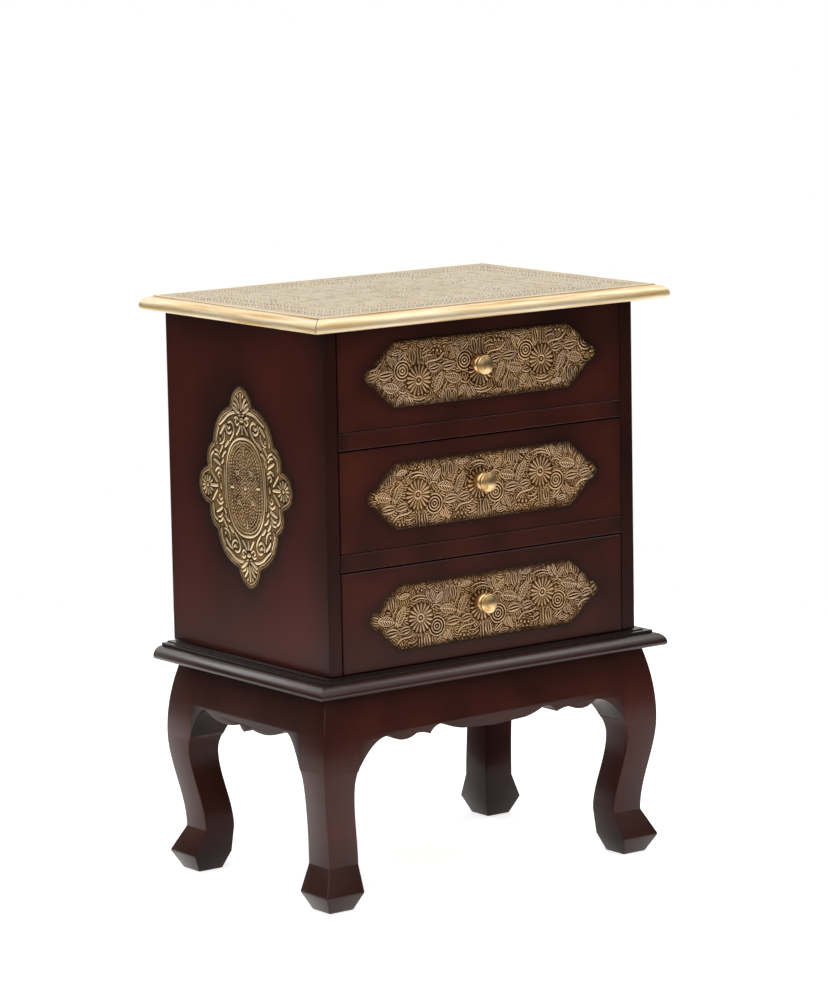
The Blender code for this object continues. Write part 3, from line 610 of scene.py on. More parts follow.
def shaped(node: str, radius: float, pitch: float = math.inf) -> Object:
    """Copies a CAD board with its edges rounded.

    Args:
        node: the board's name.
        radius: of the rounding.
        pitch: distance between cuts for its shading.

    Returns:
        The piece.
    """
    bm = copy_of(node)
    soften(bm, radius)
    cut_grid(bm, pitch)
    return as_object(f"{node}.shaped", bm)


def loft(rings: Sequence[tuple[float, float, float, float, float]]) -> Mesh:
    """Raises a closed shape through level rectangles.

    Args:
        rings: (x0, x1, y0, y1, z) from the bottom up.

    Returns:
        The shape.
    """
    bm = bmesh.new()
    x0, x1, y0, y1, z = rings[0]
    face = bm.faces.new([bm.verts.new((x, y, z)) for x, y in ((x0, y0), (x0, y1), (x1, y1), (x1, y0))])
    first = face
    for x0, x1, y0, y1, z in rings[1:]:
        middle = face.calc_center_median()
        grown = bmesh.ops.extrude_face_region(bm, geom=[face], use_keep_orig=True)
        if face is not first:
            bmesh.ops.delete(bm, geom=[face], context="FACES_ONLY")
        face = next(item for item in grown["geom"] if isinstance(item, bmesh.types.BMFace))
        for vert in face.verts:
            vert.co = (x1 if vert.co.x > middle.x else x0, y1 if vert.co.y > middle.y else y0, z)
    bmesh.ops.recalc_face_normals(bm, faces=bm.faces)
    return bm


def nose(out: float, rise: float, under: float, inset: float = 0.0) -> list[tuple[float, float]]:
    """Draws a round nose in section, from its top down to its underside.

    Args:
        out: how far it stands out.
        rise: of its upper curve.
        under: radius of the rounding below that.
        inset: how far under this surface the section lies.

    Returns:
        Distances out and heights.
    """
    rows = []
    for angle in np.linspace(math.pi / 2, 0, 17):
        rows.append(((out - inset) * math.cos(angle), under + (rise - inset) * math.sin(angle)))
    for angle in np.linspace(0, math.pi / 2, 7)[1:]:
        radius = under - inset
        rows.append((out - under + radius * math.cos(angle), under - radius * math.sin(angle)))
    return rows


def thicken(bm: Mesh) -> list[bmesh.types.BMVert]:
    """Extrudes all faces, and gives the new vertices, still in their old places."""
    grown = bmesh.ops.extrude_face_region(bm, geom=bm.faces[:], use_keep_orig=True)
    return [item for item in grown["geom"] if isinstance(item, bmesh.types.BMVert)]


def turn_about(bm: Mesh, angle: float, axis: str = "Z") -> None:
    """Turns a shape about an axis of the scene."""
    bmesh.ops.rotate(bm, verts=bm.verts, cent=(0, 0, 0), matrix=Matrix.Rotation(angle, 3, axis))


def middle_of_edge(edge: bmesh.types.BMEdge) -> Vector:
    """The point halfway along an edge."""
    return (edge.verts[0].co + edge.verts[1].co) / 2


def turned(profile: Path, steps: int) -> Mesh:
    """Turns a profile about Z on the lathe.

    Args:
        profile: (radius, z) points that start and end on the axis.
        steps: sides of the turned shape.

    Returns:
        The closed shape.
    """
    bm = bmesh.new()
    verts = [bm.verts.new((r, 0.0, z)) for r, z in profile]
    edges = [bm.edges.new(pair) for pair in zip(verts, verts[1:])]
    bmesh.ops.spin(
        bm,
        geom=verts + edges,
        cent=(0.0, 0.0, 0.0),
        axis=(0.0, 0.0, 1.0),
        angle=2 * math.pi,
        steps=steps,
        use_merge=True,
    )
    bmesh.ops.remove_doubles(bm, verts=bm.verts, dist=WELD)
    bmesh.ops.recalc_face_normals(bm, faces=bm.faces)
    return bm


def points_of(obj: Object) -> np.ndarray:
    """Reads the places of a piece's vertices.

    Args:
        obj: the piece.

    Returns:
        Rows of x, y and z.
    """
    flat = np.zeros(len(obj.data.vertices) * 3, dtype=np.float32)
    obj.data.vertices.foreach_get("co", flat)
    return flat.reshape(-1, 3).astype(float)


def paint(obj: Object, name: str, values: np.ndarray) -> None:
    """Writes one number for each vertex of a piece.

    Args:
        obj: the piece.
        name: the attribute's name.
        values: one for each vertex.
    """
    layer = obj.data.attributes.new(name, "FLOAT", "POINT")
    layer.data.foreach_set("value", np.ascontiguousarray(values, dtype=np.float32))


def mark_unrubbed_shaded(obj: Object, outward: Sequence[Vector], least: float = 0.35) -> None:
    """Marks the faces that were not rubbed and get painted shade: those that face none of the given ways.

    Args:
        obj: the piece.
        outward: the ways that its rubbed faces look.
        least: how nearly a rubbed face looks that way, as the cosine between the two.
    """
    layer = obj.data.attributes.new("raw", "FLOAT", "FACE")
    for face, value in zip(obj.data.polygons, layer.data):
        value.value = float(all(face.normal.dot(way) < least for way in outward))


def bowed(start: tuple[float, float], end: tuple[float, float], bulge: float, steps: int = 20) -> np.ndarray:
    """Draws a shallow curve between two points, without the last one.

    Args:
        start: its first point.
        end: where it goes.
        bulge: how far its middle stands out to the right of the way.
        steps: straight pieces.

    Returns:
        Rows of two.
    """
    a, b = np.array(start), np.array(end)
    way = b - a
    side = np.array((way[1], -way[0])) / max(np.hypot(*way), 1e-9)
    t = np.arange(steps)[:, None] / steps
    return a + way * t + side * (4 * bulge * t * (1 - t))


def cubic(a: Path, steps: int = 20) -> np.ndarray:
    """Draws a cubic curve, without its last point.

    Args:
        a: its four control points.
        steps: straight pieces.

    Returns:
        Rows of two.
    """
    p = [np.array(point) for point in a]
    t = np.arange(steps)[:, None] / steps
    u = 1 - t
    return p[0] * u**3 + 3 * p[1] * u * u * t + 3 * p[2] * u * t * t + p[3] * t**3


def path_distance(x: np.ndarray, z: np.ndarray, path: np.ndarray) -> tuple[np.ndarray, np.ndarray]:
    """Measures from points to a path.

    Args:
        x: the points' places to the right.
        z: the points' places up.
        path: rows of two.

    Returns:
        The distances, and how far along the path the nearest place is, from 0 to 1.
    """
    best = np.full(x.shape, np.inf)
    along = np.zeros(x.shape)
    count = len(path) - 1
    for i in range(count):
        (ax, az), (bx, bz) = path[i], path[i + 1]
        wx, wz = bx - ax, bz - az
        size = max(wx * wx + wz * wz, 1e-12)
        t = np.clip(((x - ax) * wx + (z - az) * wz) / size, 0.0, 1.0)
        far = np.hypot(x - ax - t * wx, z - az - t * wz)
        closer = far < best
        best = np.where(closer, far, best)
        along = np.where(closer, (i + t) / count, along)
    return best, along


def whole_edge(quarter: np.ndarray) -> np.ndarray:
    """A quarter of a sheet's outline, with the straight part at its end."""
    return np.vstack([quarter, [(0.0, quarter[-1, 1])]])


def outside(u: np.ndarray, v: np.ndarray, quarter: np.ndarray) -> np.ndarray:
    """Measures how far points lie outside a sheet.

    Args:
        u: the points' distances from the sheet's upright middle line.
        v: their distances from its level one.
        quarter: a quarter of its outline, from the side up to the end.

    Returns:
        The distances, which are 0 under the sheet.
    """
    under = (u < np.interp(v, quarter[:, 1], quarter[:, 0], right=0.0)) & (v < quarter[-1, 1])
    far, _ = path_distance(u, v, whole_edge(quarter))
    return np.where(under, 0.0, far)


def through(points: Path, steps: int = 6) -> np.ndarray:
    """Draws a smooth line through a few points.

    Args:
        points: the points.
        steps: straight pieces between two of them.

    Returns:
        Rows of two.
    """
    p = np.array([points[0], *points, points[-1]], dtype=float)
    rows = []
    for i in range(1, len(p) - 2):
        for t in np.arange(steps) / steps:
            pull = 2 * p[i] + (p[i + 1] - p[i - 1]) * t
            bend = 2 * p[i - 1] - 5 * p[i] + 4 * p[i + 1] - p[i + 2]
            twist = 3 * p[i] - p[i - 1] - 3 * p[i + 1] + p[i + 2]
            rows.append(0.5 * (pull + bend * t * t + twist * t**3))
    rows.append(p[-1])
    return np.array(rows)


def ridge(distance: np.ndarray, half: np.ndarray | float) -> np.ndarray:
    """A round ridge: 1 on its middle line and 0 at half its width and beyond."""
    return np.clip(1 - (distance / half) ** 2, 0.0, 1.0) ** 0.8


class Relief:
    """The height of a chased sheet at many points, from 0 in the grounds to 1 on the ridges."""

    sunk = 0.08  # height of the line that the chasing tool leaves

    def __init__(
        self, x: np.ndarray, z: np.ndarray, height: np.ndarray, moat: float = 0.7, bold: float = 1.0
    ) -> None:
        """Starts a relief.

        Args:
            x: the points' places to the right, in millimetres.
            z: their places up.
            height: what motifs are laid on.
            moat: width of the sunk line that the chasing tool leaves round each motif.
            bold: how many times their drawn width the strokes have.
        """
        self.x = x
        self.z = z
        self.height = height
        self.moat = moat
        self.bold = bold

    def seen_from(self, x: float, z: float, angle: float) -> Relief:
        """The same heights, in the frame of a motif.

        Args:
            x: the motif's place to the right.
            z: the motif's place up.
            angle: in degrees, anticlockwise.

        Returns:
            A view that lays on these heights.
        """
        c, s = math.cos(math.radians(angle)), math.sin(math.radians(angle))
        dx, dz = self.x - x, self.z - z
        return Relief(dx * c + dz * s, dz * c - dx * s, self.height, self.moat, self.bold)

    def finer(self, moat: float) -> Relief:
        """The same heights, for strokes of their drawn width and with another moat."""
        return Relief(self.x, self.z, self.height, moat)

    def near(self, reach: float) -> np.ndarray:
        """Numbers of the points within a reach of this frame's origin."""
        return np.nonzero((np.abs(self.x) < reach) & (np.abs(self.z) < reach))[0]

    def lay(self, chosen: np.ndarray, inside: np.ndarray, height: np.ndarray) -> None:
        """Lays a motif over what is there.

        Args:
            chosen: numbers of the points near the motif.
            inside: how far in from the motif's edge each lies.
            height: the motif's height there.
        """
        covered = inside > -self.moat
        raised = np.where(inside > 0, height, self.sunk)
        self.height[chosen[covered]] = raised[covered]


@dataclass(frozen=True)
class Stroke:
    """A raised line through a few points, finer towards its ends."""

    points: Path
    width: float = 2.0
    tip: float = 0.45  # share of the width at its ends
    dots: int = 0  # into how many dots it is broken
    dotted: Span = (0.55, 0.6)  # mean height along a dotted line, and its swing
    between: float = 0.3  # least height between dots

    def carve(self, relief: Relief) -> None:
        """Lays the line on a relief.

        Args:
            relief: what it is laid on.
        """
        path = through(self.points)
        low, high = path.min(axis=0) - self.width - 1, path.max(axis=0) + self.width + 1
        chosen = np.nonzero(
            (relief.x > low[0]) & (relief.x < high[0]) & (relief.z > low[1]) & (relief.z < high[1])
        )[0]
        far, along = path_distance(relief.x[chosen], relief.z[chosen], path)
        half = self.width * relief.bold / 2 * (self.tip + (1 - self.tip) * np.sqrt(np.sin(np.pi * along)))
        height = ridge(far, half)
        if self.dots:
            mean, swing = self.dotted
            height *= np.clip(mean + swing * np.cos(2 * np.pi * self.dots * along), self.between, 1.0)
        relief.lay(chosen, half - far, height)


@dataclass(frozen=True)
class Leaf:
    """An almond leaf with a raised rim, filled with veins."""

    x: float
    z: float
    angle: float
    length: float
    width: float
    veins: Veins = Veins.ALONG
    bend: float = 0.0
    vein_mm: float = 3.0
    slant: float = 0.9
    fill: Span = (0.28, 0.80)  # mean height of the veins, and their swing
    rim: float = 0.6  # from the edge to the crest of the rim
    rim_half: float = 0.7
    rim_width: float = 1.2

    def carve(self, relief: Relief) -> None:
        """Lays the leaf on a relief.

        Args:
            relief: what it is laid on.
        """
        own = relief.seen_from(self.x, self.z, self.angle)
        chosen = own.near(self.length * 0.62)
        u = own.x[chosen] / (self.length / 2)
        full = np.clip(1 - u * u, 0.0, 1.0)
        v = own.z[chosen] - self.bend * full
        half = self.width / 2 * full**0.8
        inside = np.where(np.abs(u) < 1, half - np.abs(v), -np.abs(v) - 9 * (np.abs(u) - 1))
        rim = ridge(inside - self.rim, self.rim_half)
        mean, swing = self.fill
        if self.veins is Veins.SLANTED:
            wave = np.cos(2 * np.pi * (own.x[chosen] - np.abs(v) * self.slant) / self.vein_mm)
            fill = np.maximum(np.clip(mean + swing * wave, 0, 1), ridge(v, self.rim_half))
        else:
            count = max(1.0, round(self.width / self.vein_mm))
            fill = np.clip(mean + swing * np.cos(np.pi * count * v / np.maximum(half, 0.3)), 0, 1)
        relief.lay(chosen, inside, np.where(inside < self.rim_width, rim, fill))


@dataclass(frozen=True)
class Daisy:
    """An open flower: a ringed eye in long round-ended petals."""

    x: float
    z: float
    radius: float
    petals: int
    eye: float = 4.0
    start: float = 5.4
    turn: float = 0.0
    fullness: Span = (0.60, 0.08)  # share of its room that a petal fills, and what it gains outwards
    petal_half: float = 2.3
    petal_height: float = 0.84
    ring_half: float = 1.15
    bead: float = 1.5
    ground: float = 0.14

    def carve(self, relief: Relief) -> None:
        """Lays the flower on a relief.

        Args:
            relief: what it is laid on.
        """
        own = relief.seen_from(self.x, self.z, self.turn)
        chosen = own.near(self.radius + 2)
        x, z = own.x[chosen], own.z[chosen]
        r = np.hypot(x, z)
        part = np.arctan2(z, x) * self.petals / (2 * np.pi)
        across = np.abs(part - np.round(part)) * 2 * np.pi * r / self.petals
        room = np.pi * r / self.petals
        grow = np.clip((r - self.start) / (self.radius - self.start), 0.0, 1.0)
        end = np.clip((self.radius - r) / (room * 0.9 + 0.2), 0.0, 1.0)
        full, gain = self.fullness
        half = np.minimum(room * (full + gain * grow), self.petal_half) * np.sqrt(end)
        petal = np.where((r > self.start) & (r < self.radius), ridge(across, np.maximum(half, 0.05)), 0.0)
        eye = np.maximum(ridge(r - self.eye, self.ring_half), ridge(r, self.bead))
        height = np.maximum(petal * self.petal_height, eye) * (1 - self.ground) + self.ground
        relief.lay(chosen, self.radius - r, height)


@dataclass(frozen=True)
class RingRosette:
    """A small rosette of rings round a bead."""

    x: float
    z: float
    rings: tuple[float, ...]
    line: float = 0.82
    bead: float = 1.5

    def carve(self, relief: Relief) -> None:
        """Lays the rosette on a relief.

        Args:
            relief: what it is laid on.
        """
        own = relief.seen_from(self.x, self.z, 0.0)
        chosen = own.near(self.rings[-1] + 3)
        r = np.hypot(own.x[chosen], own.z[chosen])
        height = ridge(r, self.bead)
        for ring in self.rings:
            height = np.maximum(height, ridge(r - ring, self.line))
        relief.lay(chosen, self.rings[-1] + self.line - r, height + 0.03)


@dataclass(frozen=True)
class Bead:
    """A round or long bead."""

    x: float
    z: float
    half_x: float
    half_z: float

    def carve(self, relief: Relief) -> None:
        """Lays the bead on a relief.

        Args:
            relief: what it is laid on.
        """
        own = relief.seen_from(self.x, self.z, 0.0)
        chosen = own.near(max(self.half_x, self.half_z) + 1.5)
        share = np.hypot(own.x[chosen] / self.half_x, own.z[chosen] / self.half_z)
        inside = (1 - share) * min(self.half_x, self.half_z)
        relief.lay(chosen, inside, ridge(share, 1.0))


FEATHER_STRAY = 0.38  # how far a patch lies off its grid, as a share of the grid
FEATHER_CURL = 2.2  # radius of the strokes' curve, as a share of the same
FEATHER_GAP = 0.9  # width of the sunk seam between patches, in millimetres
FEATHER_LEVEL = (0.04, 0.80)  # least height of the strokes, and their rise


def feathered_ground(x: np.ndarray, z: np.ndarray, patch_mm: float, line_mm: float, seed: int) -> np.ndarray:
    """Fills a sheet with small patches of parallel strokes, each patch turned its own way.

    Args:
        x: the points' places to the right.
        z: the points' places up.
        patch_mm: how far apart the patches are.
        line_mm: how far apart the strokes are.
        seed: for the patches' places.

    Returns:
        The height at each point.
    """
    rng = np.random.default_rng(seed)
    across = np.arange(x.min() - patch_mm, x.max() + 2 * patch_mm, patch_mm)
    up = np.arange(z.min() - patch_mm, z.max() + 2 * patch_mm, patch_mm)
    corners = np.array([(a, b) for a in across for b in up])
    seeds = corners + rng.uniform(-FEATHER_STRAY, FEATHER_STRAY, corners.shape) * patch_mm
    angles = rng.uniform(0, np.pi, len(seeds))
    first = np.full(x.shape, np.inf)
    second = np.full(x.shape, np.inf)
    owner = np.zeros(x.shape, dtype=int)
    for i, (sx, sz) in enumerate(seeds):
        chosen = np.nonzero((np.abs(x - sx) < 2 * patch_mm) & (np.abs(z - sz) < 2 * patch_mm))[0]
        far = np.hypot(x[chosen] - sx, z[chosen] - sz)
        closer = far < first[chosen]
        second[chosen] = np.where(closer, first[chosen], np.minimum(second[chosen], far))
        first[chosen] = np.where(closer, far, first[chosen])
        owner[chosen] = np.where(closer, i, owner[chosen])
    c, s = np.cos(angles[owner]), np.sin(angles[owner])
    dx, dz = x - seeds[owner, 0], z - seeds[owner, 1]
    along, off = dx * c + dz * s, dz * c - dx * s
    wave = 0.5 + 0.5 * np.cos(2 * np.pi * (off + along**2 / (FEATHER_CURL * patch_mm)) / line_mm)
    gap = np.clip((second - first) / FEATHER_GAP, 0.0, 1.0)
    least, rise = FEATHER_LEVEL
    return (least + rise * wave) * gap


# One repeat of the drawer sheet, in millimetres from the eye of its daisy
SHEET_REPEAT = 79.3
SHEET_TILT = 2.7
FLOWER_SHEET = (
    # arcs over the daisy, and the sheath beside the ring rosette
    Stroke([(12.0, 15.5), (6.0, 19.0), (-1.0, 20.0), (-8.0, 18.0)], 1.7),
    Stroke([(9.0, 20.5), (2.0, 23.0), (-6.0, 23.0), (-13.0, 20.5)], 1.7),
    Stroke([(14.0, 8.0), (19.0, 10.5), (25.0, 8.5), (27.5, 4.0)], 1.7),
    Stroke([(-32.5, -4.0), (-32.0, 3.0), (-27.5, 10.5), (-19.5, 16.0)], 1.8),
    Stroke([(-36.5, 2.0), (-34.0, 9.0), (-28.0, 15.5)], 1.6),
    # the stem below the daisy, and the branch that leaves it to the left
    Stroke([(0.0, -15.5), (-0.4, -23.0), (-0.5, -33.0)], 2.1, 0.8),
    Stroke([(-3.4, -21.0), (-3.8, -27.0), (-4.2, -33.0)], 1.5),
    Stroke([(-9.8, -15.0), (-14.7, -17.3), (-26.3, -18.2), (-33.2, -23.6)], 2.4, 0.7),
    Stroke([(-6.0, -21.5), (-12.0, -24.0), (-19.0, -23.2)], 1.7),
    Stroke([(-6.0, -25.5), (-11.0, -28.0), (-16.5, -28.8)], 1.7),
    # leaves
    Leaf(35.3, 3.1, -14.0, 22.0, 11.0, Veins.SLANTED, 0.6),
    Leaf(41.0, -10.7, 3.0, 20.0, 10.0, bend=0.8),
    Leaf(-24.2, 4.6, 58.0, 23.0, 10.5, Veins.SLANTED, 1.4),
    Leaf(-20.8, -10.6, 8.0, 17.0, 9.0, bend=1.0),
    Leaf(11.6, 20.4, 116.0, 15.0, 5.6),
    Leaf(16.8, 21.0, 108.0, 15.0, 5.6),
    Leaf(24.5, 17.5, 42.0, 16.0, 7.0, Veins.SLANTED, -0.8),
    Leaf(-36.5, 20.2, 92.0, 16.0, 8.4),
    Leaf(-28.8, 21.5, 78.0, 15.0, 5.0),
    Leaf(35.0, 21.5, 84.0, 15.0, 6.6),
    Leaf(-19.0, 25.5, 10.0, 15.0, 6.4, Veins.SLANTED),
    Leaf(7.0, -25.5, 95.0, 18.0, 9.0, bend=0.6),
    Leaf(19.3, -26.6, 35.0, 13.0, 7.0),
    Leaf(29.5, -22.0, 108.0, 13.0, 5.0, bend=0.8),
    Leaf(35.5, -24.0, 112.0, 15.0, 5.6, bend=0.8),
    Leaf(26.0, -31.5, 8.0, 14.0, 6.0),
    # berries
    Bead(-30.0, -26.0, 1.7, 1.7),
    Bead(-25.2, -27.4, 1.9, 1.9),
    Bead(-20.4, -28.0, 1.6, 1.6),
    Bead(-27.5, -31.5, 1.6, 1.6),
    Bead(-22.6, -32.0, 1.6, 1.6),
    Bead(-34.0, -30.0, 1.5, 1.5),
    Bead(-2.0, 27.5, 1.5, 1.5),
    Bead(3.0, 28.2, 1.5, 1.5),
    # flowers, over all the rest
    RingRosette(19.9, -12.2, (3.5, 6.6, 9.9)),
    Daisy(0.0, 0.0, 15.6, 18, turn=4.0),
)

# A quarter of the side medallion, in millimetres from its middle
MEDALLION_QUARTER = (
    # the long leaf that springs from the palmette, and the rims inside
    Stroke([(2.0, 74.5), (8.5, 77.0), (16.0, 77.0), (24.4, 74.4), (32.6, 69.0), (40.5, 64.0)], 2.8),
    Stroke([(42.5, 62.0), (45.9, 55.2), (47.8, 49.3), (47.2, 44.0)], 2.4, 0.7),
    Stroke([(53.5, 36.0), (58.5, 32.2), (60.0, 26.3), (59.6, 18.9)], 2.4, 0.7),
    # palmette
    Stroke([(3.5, 77.5), (9.0, 80.0), (16.5, 84.6)], 3.4, 0.5),
    Stroke([(3.0, 80.0), (8.5, 85.0), (15.5, 88.0)], 2.0, 0.5),
    Stroke([(2.2, 81.5), (5.5, 88.0), (10.5, 93.0)], 2.6, 0.5),
    Stroke([(0.0, 80.5), (0.0, 88.0), (0.0, 97.0)], 3.0, 0.5),
    Stroke([(4.0, 93.5), (4.8, 96.0), (6.0, 97.6)], 1.6, 0.6),
    Bead(0.0, 69.8, 4.6, 2.7),
    Stroke([(6.0, 70.4), (9.0, 72.4), (13.0, 71.6)], 2.2),
    Stroke([(5.0, 67.0), (8.5, 64.6), (11.5, 67.4), (9.6, 69.6)], 1.9, 0.7),
    Stroke([(0.0, 55.5), (0.0, 63.8)], 2.4, 0.6),
    Stroke([(10.4, 54.6), (6.5, 59.0), (3.0, 64.0)], 2.8, 0.5),
    # scroll beside the palmette
    Stroke([(23.5, 47.6), (17.4, 54.0), (14.8, 60.0), (16.2, 65.0), (20.0, 67.6), (24.5, 66.6)], 2.4, 0.7),
    Stroke([(19.4, 58.0), (22.4, 55.6), (26.6, 56.4), (29.2, 60.0), (28.6, 64.6)], 2.2, 0.6),
    Stroke([(21.5, 62.8), (24.0, 60.6), (26.0, 62.4)], 2.2, 0.7),
    # acanthus strokes down the band
    Stroke([(31.5, 63.6), (36.0, 59.4), (40.4, 54.6)], 3.2, 0.5),
    Stroke([(32.2, 55.6), (33.4, 49.6), (36.4, 45.6), (41.6, 44.0)], 2.2, 0.6),
    Bead(40.6, 48.6, 1.5, 2.2),
    Stroke([(25.4, 47.0), (29.0, 44.6), (32.6, 41.2)], 3.4, 0.5),
    Stroke([(36.6, 42.4), (39.4, 39.4), (42.4, 35.2)], 3.0, 0.5),
    Stroke([(31.4, 36.2), (35.4, 34.4), (38.6, 30.4)], 2.6, 0.6),
    Stroke([(37.2, 27.6), (40.0, 24.0)], 2.6, 0.8),
    # leaves that fan out to the side
    Stroke([(43.4, 33.0), (47.0, 36.4), (52.0, 37.4)], 2.2, 0.6),
    Stroke([(43.8, 28.4), (47.4, 32.0), (52.6, 32.6)], 2.0, 0.6),
    Stroke([(43.0, 22.0), (48.0, 24.6), (54.4, 27.4)], 3.0, 0.5),
    Stroke([(41.8, 16.2), (45.4, 18.6), (49.4, 18.2), (52.4, 15.2)], 2.4, 0.6),
    Stroke([(42.4, 12.2), (45.6, 14.2), (48.4, 11.6), (46.2, 8.6)], 1.9, 0.7),
    Stroke([(36.6, 0.0), (36.6, 12.0), (35.8, 22.0)], 1.5, 0.8),
    Bead(43.9, 0.0, 1.9, 4.6),
    # rosette at the side
    Stroke([(50.6, 4.2), (55.4, 9.0), (60.8, 15.4)], 2.6, 0.6),
    Daisy(68.2, 0.0, 11.0, 12, eye=2.9, start=3.8),
    Bead(68.2, 0.0, 2.4, 2.4),
    Stroke([(49.6, 0.0), (56.0, 0.0), (63.2, 0.0)], 3.2, 0.5),
)


@dataclass(frozen=True)
class MedallionPattern:
    """The side medallion's ornament: an oval field in a band of scrolls, the same in each quarter."""

    outline: np.ndarray  # a quarter, in millimetres
    oval_x: float = 34.0
    oval_z: float = 50.7
    square: float = 2.4  # 2 is an ellipse, and larger is squarer
    ring: float = 1.35
    ground: Span = (0.14, 0.38)  # height of the ground, and of its strokes above that
    patch: float = 5.0
    line: float = 1.8
    seed: int = 5
    moat: float = 1.15
    bold: float = 1.28
    rims: tuple[tuple[float, float, float], ...] = ((0.55, 2.7, 1.2), (0.62, 5.4, 0.9))  # height, inset, half
    rim: float = 6.2
    field_line: tuple[float, float, float] = (0.8, 3.6, 0.7)  # the same, inside the oval's ring
    field_edge: float = 4.6
    field_moat: float = 0.9
    fine: float = 0.36  # mean height and swing of the field's diaper
    fine_x: float = 5.2
    fine_z: float = 3.6
    field_least: float = 0.06

    def height(self, x: np.ndarray, z: np.ndarray) -> np.ndarray:
        """Works out the relief.

        Args:
            x: the points' places to the right of the middle, in millimetres.
            z: their places above it.

        Returns:
            Heights from 0 to 1.
        """
        folded_x, folded_z = np.abs(x), np.abs(z)
        low, rise = self.ground
        ground = low + rise * feathered_ground(folded_x, folded_z, self.patch, self.line, self.seed)
        relief = Relief(folded_x, folded_z, ground, self.moat, self.bold)
        for motif in MEDALLION_QUARTER:
            motif.carve(relief)
        edge, _ = path_distance(folded_x, folded_z, self.outline)
        rims = [high * ridge(edge - inset, half) for high, inset, half in self.rims]
        relief.lay(np.arange(x.size), self.rim - edge, np.maximum(*rims))
        self.field(relief)
        return relief.height

    def field(self, relief: Relief) -> None:
        """Lays the oval and its fine arabesque on the relief.

        Args:
            relief: what they are laid on.
        """
        x, z = relief.x, relief.z
        size = ((x / self.oval_x) ** self.square + (z / self.oval_z) ** self.square) ** (1 / self.square)
        out_mm = (size - 1) * (self.oval_x + (self.oval_z - self.oval_x) * z / self.oval_z)
        chosen = np.nonzero(out_mm < self.ring + 1)[0]
        x, z, out_mm = x[chosen], z[chosen], out_mm[chosen]
        waves = np.cos(2 * np.pi * x / self.fine_x) * np.cos(2 * np.pi * z / self.fine_z)
        fine = self.fine + self.fine * waves
        ring = ridge(out_mm, self.ring)
        high, inset, half = self.field_line
        line = high * ridge(out_mm + inset, half)
        height = np.where(out_mm < -self.field_edge, fine, np.maximum(ring, line))
        relief.lay(chosen, self.ring - out_mm, np.maximum(height, self.field_least))
        small = relief.finer(self.field_moat)
        for motif in (
            Bead(0.0, 0.0, 3.2, 3.2),
            Bead(5.6, 0.0, 1.5, 1.2),
            Bead(0.0, 5.6, 1.3, 1.4),
            Stroke([(0.0, 33.5), (0.0, 38.0), (0.0, 42.0)], 2.6, 0.55),
            Stroke([(19.6, 0.0), (23.0, 0.0), (26.6, 0.0)], 3.6, 0.3),
            Stroke([(4.0, 43.5), (13.5, 39.5), (21.0, 30.0), (24.5, 17.0), (24.8, 4.0)], 1.8, 0.8, 15),
            Stroke([(3.6, 33.0), (6.0, 39.0), (12.0, 35.5), (17.5, 28.5), (20.0, 19.0)], 1.7, 0.8, 11),
            Stroke([(2.0, 14.0), (5.0, 24.0), (10.0, 30.5), (14.5, 24.5)], 1.7, 0.8, 9),
            Stroke([(7.0, 15.0), (12.0, 21.0), (16.5, 15.5), (13.5, 10.5), (8.5, 9.0)], 1.7, 0.8, 9),
            Stroke([(10.5, 4.5), (15.0, 6.0), (19.5, 10.0), (21.0, 15.0)], 1.6, 0.8, 6),
            Stroke([(2.2, 20.0), (2.2, 25.0), (2.4, 29.5)], 1.5, 0.8, 4),
            RingRosette(12.0, 15.2, (1.9,), 0.7, 0.8),
        ):
            motif.carve(small)


@dataclass(frozen=True)
class FlowerPattern:
    """A drawer facing's ornament, cut from a long sheet of repeating flowers."""

    shift_x: float
    shift_z: float
    turned: bool
    knob_x: float
    knob_z: float
    seed: int
    patch: float = 8.0
    line: float = 2.5
    knob_clear: float = 7.6
    pressed: float = 0.95  # height under the knob's foot, which presses the relief flat

    def height(self, x: np.ndarray, z: np.ndarray) -> np.ndarray:
        """Works out the relief.

        Args:
            x: the points' places to the right of the middle, in millimetres.
            z: their places above it.

        Returns:
            Heights from 0 to 1.
        """
        sheet = Relief(x, z, feathered_ground(x, z, self.patch, self.line, self.seed))
        facing = sheet.seen_from(0.0, 0.0, 180.0 if self.turned else 0.0)
        tilt = math.radians(SHEET_TILT)
        step_x, step_z = SHEET_REPEAT * math.cos(tilt), SHEET_REPEAT * math.sin(tilt)
        cells = []
        for i in range(-2, 3):
            cells.append(facing.seen_from(self.shift_x + step_x * i, self.shift_z + step_z * i, SHEET_TILT))
        for motif in FLOWER_SHEET:
            for cell in cells:
                motif.carve(cell)
        under = np.clip(self.knob_clear - np.hypot(x - self.knob_x, z - self.knob_z), 0.0, 1.0)
        return sheet.height * (1 - under) + self.pressed * under


